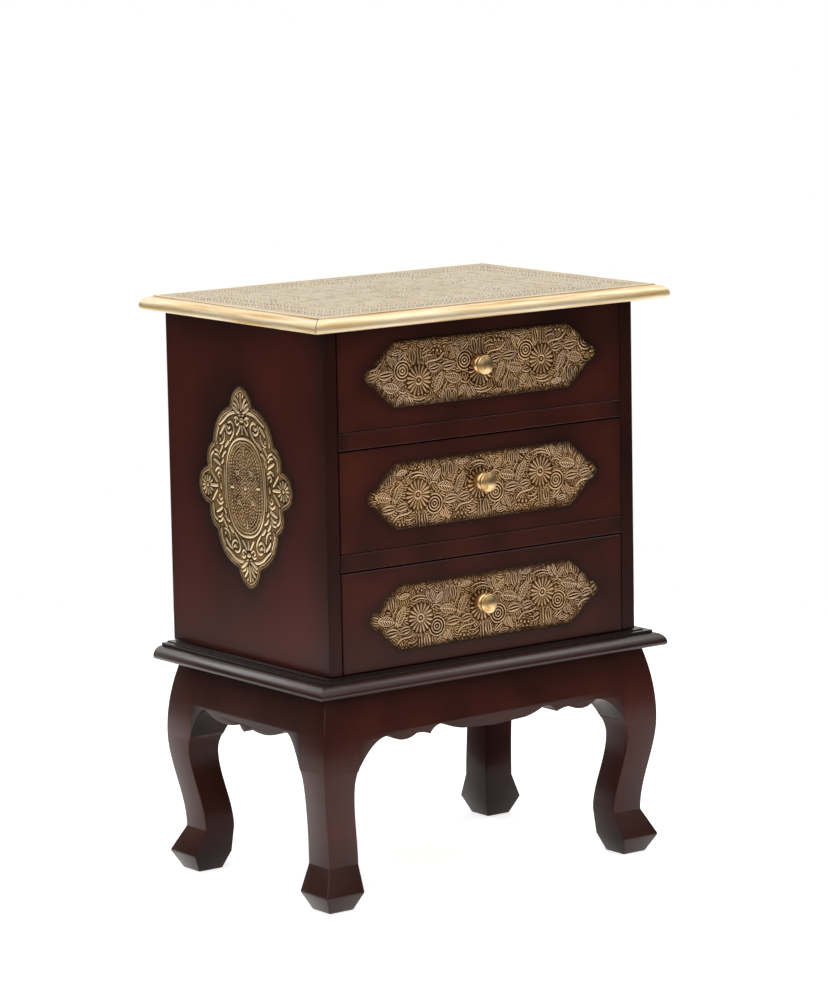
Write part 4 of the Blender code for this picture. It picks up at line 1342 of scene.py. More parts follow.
@dataclass(frozen=True)
class TopPattern:
    """The top sheet's ornament: a border of leaves, a fine field and a rosette in the middle."""

    half_x: float
    half_z: float
    lip: float = 7.0
    band: float = 46.0
    pitch: float = 11.5
    leaf: float = 24.0
    leaf_width: float = 8.6
    lean: float = 53.0  # in degrees; the leaves point away from the photo's camera
    field_pitch: float = 19.0
    field_moat: float = 0.35
    moat: float = 1.3
    inner_moat: float = 0.55  # of the border's inner row, as a share of the outer row's
    vein: float = 4.0
    ground: Span = (0.36, 0.38)  # height of the field's ground, and of its strokes above that
    border_ground: float = 0.60
    patch: float = 11.0
    line: float = 4.2
    dot: float = 3.4  # length of a dot in the two dotted rails, which are sunk
    dot_sunk: float = 0.45
    rosette: float = 62.0
    rosette_moat: float = 0.5
    rosette_vein: float = 3.2
    rings: tuple[tuple[float, float, float, int], ...] = ((0.80, 0.38, 8.6, 26), (0.47, 0.38, 7.6, 16))
    rows: Span = (10.0, 29.0)  # from the lip to the middles of the border's leaves
    rail_half: float = 1.5
    stray: float = 5.0  # how far a leaf of the field lies off its grid
    field_turn: float = 50.0
    border_turn: float = 6.0
    most: float = 0.86
    softness: float = 0.18  # the sheet is worn, so its grounds are not as deep as a drawer facing's

    def height(self, x: np.ndarray, z: np.ndarray) -> np.ndarray:
        """Works out the relief.

        Args:
            x: the points' places to the right of the middle, in millimetres.
            z: their places above it.

        Returns:
            Heights from 0 to 1.
        """
        to_side, to_end = self.half_z - np.abs(z), self.half_x - np.abs(x)
        edge = np.minimum(to_side, to_end)
        run = np.where(to_side < to_end, x, z)
        dots = np.clip(0.3 + np.cos(2 * np.pi * run / self.dot), 0, 1)
        low, rise = self.ground
        ground = low + rise * feathered_ground(x, z, self.patch, self.line, 7)
        ground = np.where(edge < self.band, self.border_ground, ground)
        for rail in (self.lip, self.band):
            ground -= self.dot_sunk * ridge(edge - rail, self.rail_half) * dots
        relief = Relief(x, z, ground, self.moat)
        self.field(relief)
        self.border(relief)
        self.flower(relief)
        return np.clip(self.softness + (self.most - self.softness) * relief.height, 0.0, 1.0)

    def field(self, relief: Relief) -> None:
        """Strews leaves over the middle, faintly, each turned its own way.

        Args:
            relief: what they are laid on.
        """
        rng = np.random.default_rng(23)
        faint = relief.finer(self.field_moat)
        far_x, far_z = self.half_x - self.band - self.leaf / 2, self.half_z - self.band - self.leaf / 2
        for x in np.arange(-far_x, far_x, self.field_pitch):
            for z in np.arange(-far_z, far_z, self.field_pitch):
                spot = (x + rng.uniform(-self.stray, self.stray), z + rng.uniform(-self.stray, self.stray))
                turn = self.lean + rng.uniform(-self.field_turn, self.field_turn)
                size = rng.uniform(0.8, 1.2)
                Leaf(*spot, turn, self.leaf * size, self.leaf_width * size, vein_mm=self.vein).carve(faint)

    def border(self, relief: Relief) -> None:
        """Lays two rows of leaves along each edge, a little unevenly, as they were struck by hand.

        Args:
            relief: what they are laid on.
        """
        rng = np.random.default_rng(11)
        for row, inset in enumerate(self.lip + middle for middle in self.rows):
            faint = relief.finer(relief.moat * (self.inner_moat if row else 1.0))
            far_x, far_z = self.half_x - inset, self.half_z - inset
            count_x, count_z = int(2 * far_x / self.pitch), int(2 * far_z / self.pitch)
            spots = [(-far_x + 2 * far_x * (i + row / 2) / count_x, far_z) for i in range(count_x + 1 - row)]
            spots += [(far_x, -far_z + 2 * far_z * (i + row / 2) / count_z) for i in range(count_z + 1 - row)]
            for x, z in spots + [(-x, -z) for x, z in spots]:
                turn = self.lean + rng.uniform(-self.border_turn, self.border_turn)
                size = rng.uniform(0.88, 1.08)
                Leaf(x, z, turn, self.leaf * size, self.leaf_width * size, vein_mm=self.vein).carve(faint)

    def flower(self, relief: Relief) -> None:
        """Lays the rosette: rings of leaves round a daisy, by their reach, length, width and number.

        Args:
            relief: what they are laid on.
        """
        relief = relief.finer(self.rosette_moat)
        for reach, length, width, count in self.rings:
            for i in range(count):
                turn = 2 * math.pi * i / count
                far = self.rosette * reach
                spot = (far * math.cos(turn), far * math.sin(turn))
                angle, size = math.degrees(turn), self.rosette * length
                Leaf(*spot, angle, size, width, vein_mm=self.rosette_vein).carve(relief)
        Daisy(0.0, 0.0, self.rosette * 0.27, 14, eye=5.0, start=6.4).carve(relief)


@dataclass(frozen=True)
class ReliefSheet:
    """A thin brass sheet, chased from outside, in an outline that narrows towards its ends."""

    name: str
    centre: Vector  # on its back face
    right: Vector
    up: Vector
    outline: np.ndarray  # a quarter, from the side up to the end
    columns: int
    rows: int
    base: float = 0.0004
    rise: float = 0.0009
    round_mm: float = 2.4
    least_half: float = 0.0006  # half its width where it comes to a tip
    least_depth: float = 0.00008  # at its folded edge

    def build(self, pattern: FlowerPattern | MedallionPattern | TopPattern, tilt: float = 0.0) -> Object:
        """Raises the relief on a grid, folds its edge back and closes it behind.

        Args:
            pattern: gives the height at each point.
            tilt: in degrees, how far the sheet is turned in its plane.

        Returns:
            The piece.
        """
        bm = bmesh.new()
        bmesh.ops.create_grid(bm, x_segments=self.columns, y_segments=self.rows, size=1.0)
        obj = as_object(self.name, bm)
        grid = points_of(obj)
        z = grid[:, 1] * self.outline[-1, 1]
        half = np.interp(np.abs(z), self.outline[:, 1], self.outline[:, 0])
        x = grid[:, 0] * np.maximum(half, self.least_half)
        inset = path_distance(np.abs(x), np.abs(z), whole_edge(self.outline))[0] / MM
        height = pattern.height(x / MM, z / MM)
        fold = np.clip(inset / self.round_mm, 0.0, 1.0)
        out = (self.base + self.rise * height) * fold * (2 - fold)
        c, s = math.cos(math.radians(tilt)), math.sin(math.radians(tilt))
        right, up = np.array(self.right), np.array(self.up)
        facing = np.cross(right, up)
        spots = np.array(self.centre) + np.outer(x * c - z * s, right) + np.outer(x * s + z * c, up)
        spots += np.outer(out + self.least_depth, facing)
        obj.data.vertices.foreach_set("co", np.ascontiguousarray(spots, dtype=np.float32).ravel())
        paint(obj, "relief", height)
        paint(obj, "edge_mm", inset)
        self.close_back(obj, Vector(facing))
        return obj

    def close_back(self, obj: Object, facing: Vector) -> None:
        """Folds the sheet's edge to the wood and closes it behind.

        Args:
            obj: the sheet.
            facing: the way that it looks.
        """
        bm = bmesh.new()
        bm.from_mesh(obj.data)
        for face in bm.faces:
            face.smooth = True
        rim = [edge for edge in bm.edges if edge.is_boundary]
        grown = bmesh.ops.extrude_edge_only(bm, edges=rim)
        behind = [item for item in grown["geom"] if isinstance(item, bmesh.types.BMVert)]
        level = facing.dot(self.centre)
        for vert in behind:
            vert.co -= facing * (facing.dot(vert.co) - level)
        loop = [item for item in grown["geom"] if isinstance(item, bmesh.types.BMEdge) and item.is_boundary]
        bmesh.ops.edgeloop_fill(bm, edges=loop)
        bmesh.ops.recalc_face_normals(bm, faces=bm.faces)
        bm.to_mesh(obj.data)
        bm.free()


@dataclass(frozen=True)
class Scallops:
    """The lower edge of half an apron: stretches from its middle out, then the ear beside the leg."""

    stops: tuple[tuple[float, float, float], ...]  # place, drop, and bulge of the stretch that follows
    ear_width: float
    ear_drop: float  # where the ear's round edge starts, below the apron's top
    ear_near: float = 0.48  # how far the curve's handles reach, as shares of the ear
    ear_far: float = 0.15
    ear_low: float = 0.30

    def edge(self, end: float, foot: float) -> np.ndarray:
        """Draws the whole edge.

        Args:
            end: where the apron meets the leg.
            foot: drop of the ear's lower end.

        Returns:
            Rows of places and drops.
        """
        places = [stop[:2] for stop in self.stops] + [(end - self.ear_width, self.ear_drop)]
        rows = []
        for start, stop, (_, _, bulge) in zip(places, places[1:], self.stops):
            rows.append(bowed(start, stop, bulge, 20 if bulge else 2))
        return np.vstack([*rows, self.ear(end, foot)])

    def ear(self, end: float, foot: float) -> np.ndarray:
        """Draws the round edge of the ear.

        Args:
            end: where it meets the leg.
            foot: drop of its lower end.

        Returns:
            Rows of places and drops.
        """
        start = end - self.ear_width
        near = (start + self.ear_width * self.ear_near, self.ear_drop)
        far = (end - self.ear_width * self.ear_far, foot - (foot - self.ear_drop) * self.ear_low)
        return np.vstack([cubic([(start, self.ear_drop), near, far, (end, foot)], 24), [(end, foot)]])


@dataclass
class Base:
    """Four sawn cabriole legs, the bowed, scalloped aprons between them and the blocks behind their ears."""

    height: float = 0.2242
    ankle_x: float = 0.2049
    ankle_y: float = 0.1298
    post_inset: float = 0.0309
    post_top_out: float = 0.0015
    knee_out: float = 0.0130
    knee_drop: float = 0.0762
    hollow_drop: float = 0.0962
    hollow_inset: float = 0.0262
    ankle_width: float = 0.0368
    crease: float = 0.046
    toe: float = 0.019
    toe_out: float = 0.0132
    heel_inset: float = 0.0344
    foot_out: float = 0.003
    foot_width: float = 0.0298
    apron_inset: float = 0.012
    corner_round: float = 0.0014
    apron_round: float = 0.0009
    top_clear: float = 0.001  # edges this near the top stay sharp
    knee_clear: float = 0.002  # a leg's inner arrises stay sharp down to this far below the knee
    outer_reach: float = 0.010  # how far in from the ankle's faces an outer arris can lie
    bow_levels: int = 18  # from the knee up
    sharp: float = 24.0
    ear_rise: float = 0.004  # of the block behind an ear, above the start of its round edge
    glue_line: float = 0.0001
    long: Scallops = Scallops(
        (
            (0.0, 0.0552, 0.0),
            (0.040, 0.0532, -0.0012),
            (0.067, 0.0447, 0.0022),
            (0.083, 0.0532, 0.0010),
            (0.100, 0.0502, -0.0055),
        ),
        ear_width=0.0385,
        ear_drop=0.0477,
    )
    short: Scallops = Scallops(
        ((0.0, 0.0550, -0.0008), (0.008, 0.0487, -0.0062)), ear_width=0.027, ear_drop=0.0432
    )
    leg_shade: float = 0.25
    leg_foot: Fade = Fade(0.42, 0.048, 2.0)
    # painted shadow under the waist board, at the top of each leg
    leg_top: Fade = Fade(0.25, 0.012)
    long_shade: float = 0.25
    # the side aprons carry more painted shade than the front and back ones
    short_shade: float = 0.50
    # painted shadow under the waist board
    apron_top: Fade = Fade(0.4, 0.010)
    apron_low: float = 0.35  # what is added at the lower edge
    apron_low_span: Span = (0.038, 0.058)
    # painted shade in the recess behind each ear
    block_shade: float = 0.5

    def out(self, z: float) -> float:
        """Measures how far a leg's outer faces stand out past the ankle.

        Args:
            z: the height.

        Returns:
            The distance.
        """
        knee = self.height - self.knee_drop
        if z >= knee:
            return self.knee_out - (self.knee_out - self.post_top_out) * ((z - knee) / self.knee_drop) ** 2
        if z >= self.crease:
            t = (z - self.crease) / (knee - self.crease)
            return self.knee_out * t * t * (3 - 2 * t)
        if z >= self.toe:
            return self.toe_out * (self.crease - z) / (self.crease - self.toe)
        return self.foot_out + (self.toe_out - self.foot_out) * z / self.toe

    def inner(self, z: float) -> float:
        """Measures how far in from the ankle's outer face a leg's inner faces lie.

        Args:
            z: the height.

        Returns:
            The distance.
        """
        knee, hollow = self.height - self.knee_drop, self.height - self.hollow_drop
        if z >= knee:
            return self.post_inset
        if z >= hollow:
            t = (z - hollow) / (knee - hollow)
            return self.hollow_inset + (self.post_inset - self.hollow_inset) * t**2
        if z >= self.crease:
            t = (z - self.crease) / (hollow - self.crease)
            return self.ankle_width + (self.hollow_inset - self.ankle_width) * t * t * (3 - 2 * t)
        if z >= self.toe:
            t = (z - self.toe) / (self.crease - self.toe)
            return self.heel_inset + (self.ankle_width - self.heel_inset) * t
        foot = self.foot_width - self.foot_out
        return foot + (self.heel_inset - foot) * z / self.toe

    def leg(self, name: str, sx: int, sy: int) -> Object:
        """Saws one leg and rounds its arrises.

        Args:
            name: the leg's node.
            sx: -1 for the left, 1 for the right.
            sy: -1 for the front, 1 for the back.

        Returns:
            The piece.
        """
        knee = self.height - self.knee_drop
        bow = np.linspace(knee, self.height, self.bow_levels)[1:]
        rings = []
        for z in [0.0, self.toe, *np.linspace(self.crease, knee, 30), *bow]:
            x = sorted((sx * (self.ankle_x - self.inner(z)), sx * (self.ankle_x + self.out(z))))
            y = sorted((sy * (self.ankle_y - self.inner(z)), sy * (self.ankle_y + self.out(z))))
            rings.append((*x, *y, float(z)))
        bm = loft(rings)
        # The arrises that meet the aprons stay sharp, so that the faces run on.
        rounded = []
        for edge in bm.edges:
            middle = middle_of_edge(edge)
            outer = min(abs(middle.x) - self.ankle_x, abs(middle.y) - self.ankle_y) > -self.outer_reach
            free = middle.z < self.height - self.top_clear and (outer or middle.z < knee - self.knee_clear)
            if free and edge.calc_face_angle() > 0.5:
                rounded.append(edge)
        bevel(bm, rounded, self.corner_round, 3)
        return as_object(f"{name}.shaped", bm, self.sharp)

    def along(self, side: Side) -> tuple[Scallops, float, float]:
        """Measures an apron.

        Args:
            side: where it is.

        Returns:
            Its edge, half its length, and the distance from the middle of the base to the ankles' faces.
        """
        if side.runs_across():
            return self.long, self.ankle_x - self.post_inset, self.ankle_y
        return self.short, self.ankle_y - self.post_inset, self.ankle_x

    def apron(self, name: str, side: Side) -> Object:
        """Saws one apron and bows its face with the knees.

        Args:
            name: the apron's node.
            side: where it is.

        Returns:
            The piece.
        """
        scallops, end, ankle = self.along(side)
        right = scallops.edge(end, self.knee_drop) * (1, -1) + (0, self.height)
        left = right[:0:-1] * (-1, 1)
        outline = [(-end, self.height), *left, *right, (end, self.height)]
        bm = bmesh.new()
        bm.faces.new([bm.verts.new((x, 0.0, z)) for x, z in outline])
        for z in np.linspace(self.height - self.knee_drop, self.height, self.bow_levels)[1:-1]:
            cut(bm, Vector((0, 0, z)), Vector((0, 0, 1)))
        face_side = bm.verts[:]
        back = -ankle + self.apron_inset
        for vert in thicken(bm):
            vert.co.y = back
        for vert in face_side:
            vert.co.y = -ankle - self.out(vert.co.z)
        bmesh.ops.recalc_face_normals(bm, faces=bm.faces)
        rounded = []
        for edge in bm.edges:
            middle = middle_of_edge(edge)
            sawn = middle.z < self.height - self.top_clear and abs(middle.x) < end - 10 * WELD
            at_block = abs(middle.x) > end - scallops.ear_width and middle.y > back - 10 * WELD
            if sawn and not at_block and edge.is_convex and edge.calc_face_angle() > 0.6:
                rounded.append(edge)
        bevel(bm, rounded, self.apron_round)
        turn_about(bm, side.value)
        return as_object(f"{name}.shaped", bm, self.sharp)

    def ear_block(self, name: str, side: Side, sign: int) -> Object:
        """Saws the block behind an ear, which fills it out to the depth of the leg.

        Args:
            name: for the piece.
            side: where the apron is.
            sign: -1 for the apron's left end, 1 for its right.

        Returns:
            The piece.
        """
        scallops, end, ankle = self.along(side)
        end -= self.glue_line
        top = self.height - scallops.ear_drop + self.ear_rise
        outline = [(x, self.height - drop) for x, drop in scallops.ear(end, self.knee_drop)]
        outline += [(end, top), (end - scallops.ear_width, top)]
        front = -ankle + self.apron_inset + self.glue_line
        bm = bmesh.new()
        bm.faces.new([bm.verts.new((sign * x, front, z)) for x, z in outline])
        for vert in thicken(bm):
            vert.co.y = -ankle + self.post_inset - self.glue_line
        bmesh.ops.recalc_face_normals(bm, faces=bm.faces)
        turn_about(bm, side.value)
        return as_object(name, bm, self.sharp)

    def dress(self, upright: Material, across: Material, deep: Material) -> None:
        """Builds the legs, the aprons and the blocks behind their ears.

        Args:
            upright: wood with its grain up, for the legs.
            across: wood with its grain across, for the front and back aprons.
            deep: wood with its grain front to back, for the side aprons.
        """
        for sy, row in ((-1, "front"), (1, "back")):
            for sx, hand in SIDES:
                name = f"leg_{row}_{hand}"
                leg = self.leg(name, sx, sy)
                z = points_of(leg)[:, 2]
                # darker towards the foot, with painted shadow under the waist board at the top
                paint(leg, "spray_and_painted_shade", self.leg_shade + self.leg_foot.at(z) + self.leg_top.at(self.height - z))
                # inner faces are unrubbed and get painted shade
                mark_unrubbed_shaded(leg, (Vector((sx, 0, 0)), Vector((0, sy, 0))))
                show(leg, upright, CABINET, "stained_wood", name)
        low, high = self.apron_low_span
        for side in Side:
            name = f"apron_{side.word()}"
            wood, shade = (across, self.long_shade) if side.runs_across() else (deep, self.short_shade)
            apron = self.apron(name, side)
            drop = self.height - points_of(apron)[:, 2]
            # painted shadow under the waist board, and darker towards the lower edge
            shade = shade + self.apron_top.at(drop)
            shade += self.apron_low * np.clip((drop - low) / (high - low), 0, 1)
            paint(apron, "spray_and_painted_shade", np.clip(shade, 0.0, 1.0))
            # faces other than the front are unrubbed and get painted shade
            mark_unrubbed_shaded(apron, [Vector((math.sin(side.value), -math.cos(side.value), 0))])
            show(apron, wood, CABINET, "stained_wood", name)
            for sign, end in ((-1, "near"), (1, "far")):
                block = self.ear_block(f"{name}.ear_block_{end}", side, sign)
                # painted shade in the recess behind the ear; all the block's faces are unrubbed
                paint(block, "spray_and_painted_shade", np.full(len(block.data.vertices), self.block_shade))
                mark_unrubbed_shaded(block, [])
                show(block, wood, CABINET, "stained_wood")


@dataclass
class WaistBoard:
    """The moulded board between base and carcass: a round nose under two fillets, on three sides."""

    foot: float = 0.2245
    thickness: float = 0.0175
    nose_x: float = 0.2145  # to the foot of the nose
    nose_y: float = -0.1405
    back: float = 0.1530
    nose_out: float = 0.0113
    fillet: float = 0.0028
    bead_in: float = 0.007
    bead: float = 0.0012
    under_r: float = 0.003
    edge_round: float = 0.0004
    shade: float = 0.30
    # painted shade in the corner at the foot of the nose, and in the step further in
    nose_corner: Fade = Fade(0.6, 0.0012)
    bead_corner: Fade = Fade(0.6, 0.0010)

    def dress(self, wood: Material) -> None:
        """Builds the board and paints shade into the corners of its moulding and onto its downward faces.

        Args:
            wood: its finish.
        """
        bead_z = self.thickness - self.bead
        section = nose(self.nose_out, bead_z - self.fillet - self.under_r, self.under_r)[::-1]
        section += [(0.0, bead_z), (-self.bead_in, bead_z), (-self.bead_in, self.thickness)]
        rings = []
        for out, z in section:
            rings.append((-self.nose_x - out, self.nose_x + out, self.nose_y - out, self.back, self.foot + z))
        bm = loft(rings)
        soften(bm, self.edge_round, 50)
        obj = as_object("waist_board.moulded", bm, 24)
        # the downward faces are unrubbed and get painted shade
        mark_unrubbed_shaded(obj, [Vector((0, 0, 1))], -0.2)
        spots = points_of(obj)
        inside = np.minimum(self.nose_x - np.abs(spots[:, 0]), spots[:, 1] - self.nose_y)
        corner = self.nose_corner.at(np.abs(inside)) + self.bead_corner.at(np.abs(inside - self.bead_in))
        paint(obj, "spray_and_painted_shade", np.clip(self.shade + corner, 0, 1))
        show(obj, wood, CABINET, "stained_wood", "waist_board")


@dataclass
class Medallion:
    """The chased facing on a side panel, nailed on a little askew."""

    half_width: float = 0.0855
    half_height: float = 0.106
    tilt: float = 3.3
    notches: tuple[tuple[float, float], ...] = ((0.068, 0.0205), (0.0562, 0.0465), (0.0215, 0.0845))
    bulges: tuple[float, ...] = (0.0050, 0.0052, 0.0080, 0.0046)

    def quarter(self) -> np.ndarray:
        """Draws a quarter of the outline, from the side up to the tip.

        Returns:
            Rows of two.
        """
        stops = [(self.half_width, 0.0), *self.notches, (0.0, self.half_height)]
        rows = [bowed(a, b, bulge) for a, b, bulge in zip(stops, stops[1:], self.bulges)]
        return np.vstack([*rows, [stops[-1]]])

    def dress(self, brass: Material) -> None:
        """Builds the facing of each side.

        Args:
            brass: its finish.
        """
        for sign, side in SIDES:
            name = f"medallion_{side}"
            centre = middle_of(name)
            low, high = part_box(f"side_panel_{side}")
            centre.x = low[0] if sign < 0 else high[0]
            right, up = Vector((0.0, sign, 0.0)), Vector((0.0, 0.0, 1.0))
            sheet = ReliefSheet(f"{name}.chased", centre, right, up, self.quarter(), columns=280, rows=335)
            obj = sheet.build(MedallionPattern(self.quarter() / MM), self.tilt)
            show(obj, brass, CABINET, "embossed_brass", name)

    def distance(self, y: np.ndarray, z: np.ndarray, sign: int) -> np.ndarray:
        """How far points of a side panel lie outside the facing.

        Args:
            y: the points' places front to back.
            z: the points' heights.
            sign: -1 for the left panel, 1 for the right.

        Returns:
            The distances, which are 0 under the facing.
        """
        centre = middle_of("medallion_left")
        dy, dz = (y - centre.y) * sign, z - centre.z
        c, s = math.cos(math.radians(self.tilt)), math.sin(math.radians(self.tilt))
        return outside(np.abs(dy * c + dz * s), np.abs(dz * c - dy * s), self.quarter())


@dataclass
class Carcass:
    """Side panels, rails, back, runners and cleats."""

    medallion: Medallion
    edge_round: float = 0.0012
    rail_round: float = 0.0007
    pitch: float = 0.0042
    front: Fade = Fade(0.68, 0.024, 1.5)
    back: Fade = Fade(0.35, 0.018, 1.4)
    # painted shadow under the top's overhang
    top: Fade = Fade(0.28, 0.022, 1.4)
    # painted shade at the foot, above the waist board
    foot: Fade = Fade(0.10, 0.014, 1.4)
    halo_near: Fade = Fade(0.40, 0.005, 1.1)
    halo_far: Fade = Fade(0.52, 0.028, 1.6)
    front_edge: float = 0.72  # shade of the panel's edge beside the drawers
    rail_shade: float = 0.25
    # painted shade where each rail meets a side panel
    rail_end: Fade = Fade(0.6, 0.014, 1.4)
    rail_hidden: float = 0.006  # of each end, in the side panel

    def dress_side(self, sign: int, side: str, wood: Material) -> None:
        """Rounds a side panel; paints it darker at its edges, round its facing, and with painted shade under
        the top and at its foot.

        Args:
            sign: -1 for the left, 1 for the right.
            side: the same, in words.
            wood: its finish.
        """
        name = f"side_panel_{side}"
        low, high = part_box(name)
        obj = shaped(name, self.edge_round, self.pitch)
        _, y, z = points_of(obj).T
        halo = self.medallion.distance(y, z, sign)
        shade = self.front.at(y - low[1]) + self.back.at(high[1] - y)
        # painted shadow under the top, and painted shade at the foot
        shade += self.top.at(high[2] - z) + self.foot.at(z - low[2])
        shade += self.halo_near.at(halo) + self.halo_far.at(halo)
        shade = np.where(y - low[1] < self.edge_round * 0.6, self.front_edge, shade)
        paint(obj, "spray_and_painted_shade", np.clip(shade, 0.0, 1.0))
        show(obj, wood, CABINET, "stained_wood", name)

    def dress(self, upright: Material, across: Material, plain: dict[Grain, Material]) -> None:
        """Builds the panels and rails, and dresses the plain boards inside.

        Args:
            upright: stained wood with its grain up.
            across: stained wood with its grain across.
            plain: unfinished wood, by its grain.
        """
        for sign, side in SIDES:
            self.dress_side(sign, side, upright)
        for name in ("drawer_rail_upper", "drawer_rail_lower"):
            low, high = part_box(name)
            obj = shaped(name, self.rail_round, self.pitch)
            ends = (high[0] - low[0]) / 2 - self.rail_hidden - np.abs(points_of(obj)[:, 0])
            # darker towards the ends: painted shade where the rails go into the panels
            paint(obj, "spray_and_painted_shade", self.rail_shade + self.rail_end.at(ends))
            show(obj, across, CABINET, "stained_wood", name)
        dress_plain("back_panel", CABINET, plain[Grain.UPRIGHT])
        for board in ("runner_upper", "runner_lower", "top_cleat", "corner_block_front", "corner_block_back"):
            for _, side in SIDES:
                dress_plain(f"{board}_{side}", CABINET, plain[Grain.DEEP])


def dress_plain(name: str, body: str, wood: Material) -> None:
    """Rounds the edges of an unfinished board a little.

    Args:
        name: its node.
        body: the body that it moves with.
        wood: its finish.
    """
    show(shaped(name, 0.5 * MM), wood, body, "plain_wood", name)


@dataclass
class Top:
    """The clad top: a chased sheet, and smooth brass folded over a moulded edge in four mitred lengths."""

    half_x: float = 0.217  # to the foot of the nose
    half_y: float = 0.148
    foot: float = 0.5949
    brass_top: float = 0.0151
    thickness: float = 0.0008
    nose_out: float = 0.011
    fillet: float = 0.0013
    under_r: float = 0.0052
    lip: float = 0.004
    gap: float = 0.0009
    board_clear: float = 1.4  # how far inside the brass the board keeps, in thicknesses
    board_shade: float = 0.6

    def section(self, inset: float) -> list[tuple[float, float]]:
        """The edge in section, from its flat lip down to its underside.

        Args:
            inset: how far under the brass surface it lies.

        Returns:
            Distances out and heights.
        """
        top = self.brass_top - inset
        rise = self.brass_top - self.fillet - self.under_r
        return [(-self.lip, top), (-inset, top), *nose(self.nose_out, rise, self.under_r, inset)]

    def edge(self, name: str, side: Side) -> Object:
        """Folds one length of brass and mitres its ends.

        Args:
            name: its node.
            side: where it is.

        Returns:
            The piece.
        """
        outline = self.section(0.0) + self.section(self.thickness)[::-1]
        half, away = (self.half_x, self.half_y) if side.runs_across() else (self.half_y, self.half_x)
        left = -half + self.gap / 2
        bm = bmesh.new()
        bm.faces.new([bm.verts.new((left - out, -away - out, self.foot + z)) for out, z in outline])
        for vert in thicken(bm):
            vert.co.x = -vert.co.x
        bmesh.ops.recalc_face_normals(bm, faces=bm.faces)
        turn_about(bm, side.value)
        return as_object(f"{name}.folded", bm, 28)

    def dress(self, sheet_brass: Material, across: Material, deep: Material, wood: Material) -> None:
        """Builds the sheet, its edging and the board.

        Args:
            sheet_brass: the chased sheet's finish.
            across: polished brass rubbed across, for the front and back.
            deep: polished brass rubbed front to back, for the sides.
            wood: the board's finish.
        """
        low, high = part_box("top_sheet")
        centre = middle_of("top_sheet")
        centre.z = low[2]
        half_x, half_z = (high[0] - low[0]) / 2, (high[1] - low[1]) / 2
        depth = high[2] - low[2]
        sheet = ReliefSheet(
            "top_sheet.chased",
            centre,
            Vector((1.0, 0.0, 0.0)),
            Vector((0.0, 1.0, 0.0)),
            np.array([(half_x, 0.0), (half_x, half_z)]),
            columns=385,
            rows=245,
            base=depth * 0.35,
            rise=depth * 0.5,
            round_mm=0.8,
        )
        obj = sheet.build(TopPattern(half_x / MM, half_z / MM))
        show(obj, sheet_brass, CABINET, "pale_brass_sheet", "top_sheet")
        for side in Side:
            name = f"edge_clad_{side.word()}"
            brass = across if side.runs_across() else deep
            show(self.edge(name, side), brass, CABINET, "edge_brass", name)
        shape = copy_of("top_board")
        core = np.array(self.section(self.thickness * self.board_clear)[::-1])
        for vert in shape.verts:
            # The board keeps inside its brass where the nose turns under.
            out = min(abs(vert.co.x) - self.half_x, abs(vert.co.y) - self.half_y)
            back = max(0.0, out - float(np.interp(vert.co.z - self.foot, core[:, 1], core[:, 0])))
            vert.co.x -= math.copysign(back, vert.co.x)
            vert.co.y -= math.copysign(back, vert.co.y)
        board = as_object("top_board.shaped", shape)
        paint(board, "spray_and_painted_shade", np.full(len(board.data.vertices), self.board_shade))
        show(board, wood, CABINET, "stained_wood", "top_board")


@dataclass
class Knob:
    """A turned brass knob: a long bead, a groove and a round-edged head."""

    foot_r: float = 0.0066
    foot: float = 0.0010
    bead_r: float = 0.0102
    bead: float = 0.0092
    groove_r: float = 0.0058
    groove: float = 0.0014
    head_r: float = 0.0104
    head: float = 0.0040
    head_round: float = 0.0019
    dome: float = 0.0020
    bore_r: float = 0.0023
    bore: float = 0.009
    fullness: float = 2.1
    mark: float = 0.00004  # depth of the fine turning marks on the face of the head
    steps: int = 64

    def profile(self) -> list[tuple[float, float]]:
        """Draws the profile, from the bore round to the middle of the head.

        Returns:
            Radii and heights.
        """
        rows = [(0.0, self.bore), (self.bore_r, self.bore), (self.bore_r, 0.0), (self.foot_r, 0.0)]
        for share in np.linspace(0, 1, 25):
            neck = self.foot_r if share < 0.5 else self.groove_r
            swell = (1 - abs(2 * share - 1) ** self.fullness) ** (1 / self.fullness)
            rows.append((neck + (self.bead_r - neck) * swell, self.foot + self.bead * share))
        back = self.foot + self.bead + self.groove
        face = back + self.head
        flat = self.head_r - self.head_round
        rows.append((self.groove_r, back))
        corner = np.linspace(0, math.pi / 2, 6)
        for angle in corner:
            out, up = self.head_round * math.sin(angle), self.head_round * (1 - math.cos(angle))
            rows.append((flat + out, back + up))
        for angle in corner:
            out, down = self.head_round * math.cos(angle), self.head_round * (1 - math.sin(angle))
            rows.append((flat + out, face - down))
        for share in np.linspace(1, 0, 13)[1:]:
            mark = self.mark * math.sin(share * 40) if 0.1 < share < 0.9 else 0.0
            rows.append((flat * share, face + self.dome * (1 - share**2) + mark))
        return rows

    def build(self, name: str, node: str) -> Object:
        """Turns the knob and sets it on its drawer.

        Args:
            name: the piece's name.
            node: the CAD knob that it stands for.

        Returns:
            The piece.
        """
        foot = middle_of(node)
        foot.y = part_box(node)[1][1]
        bm = turned(self.profile(), self.steps)
        turn_about(bm, math.pi / 2, "X")
        bmesh.ops.translate(bm, verts=bm.verts, vec=foot)
        return as_object(name, bm, 40)


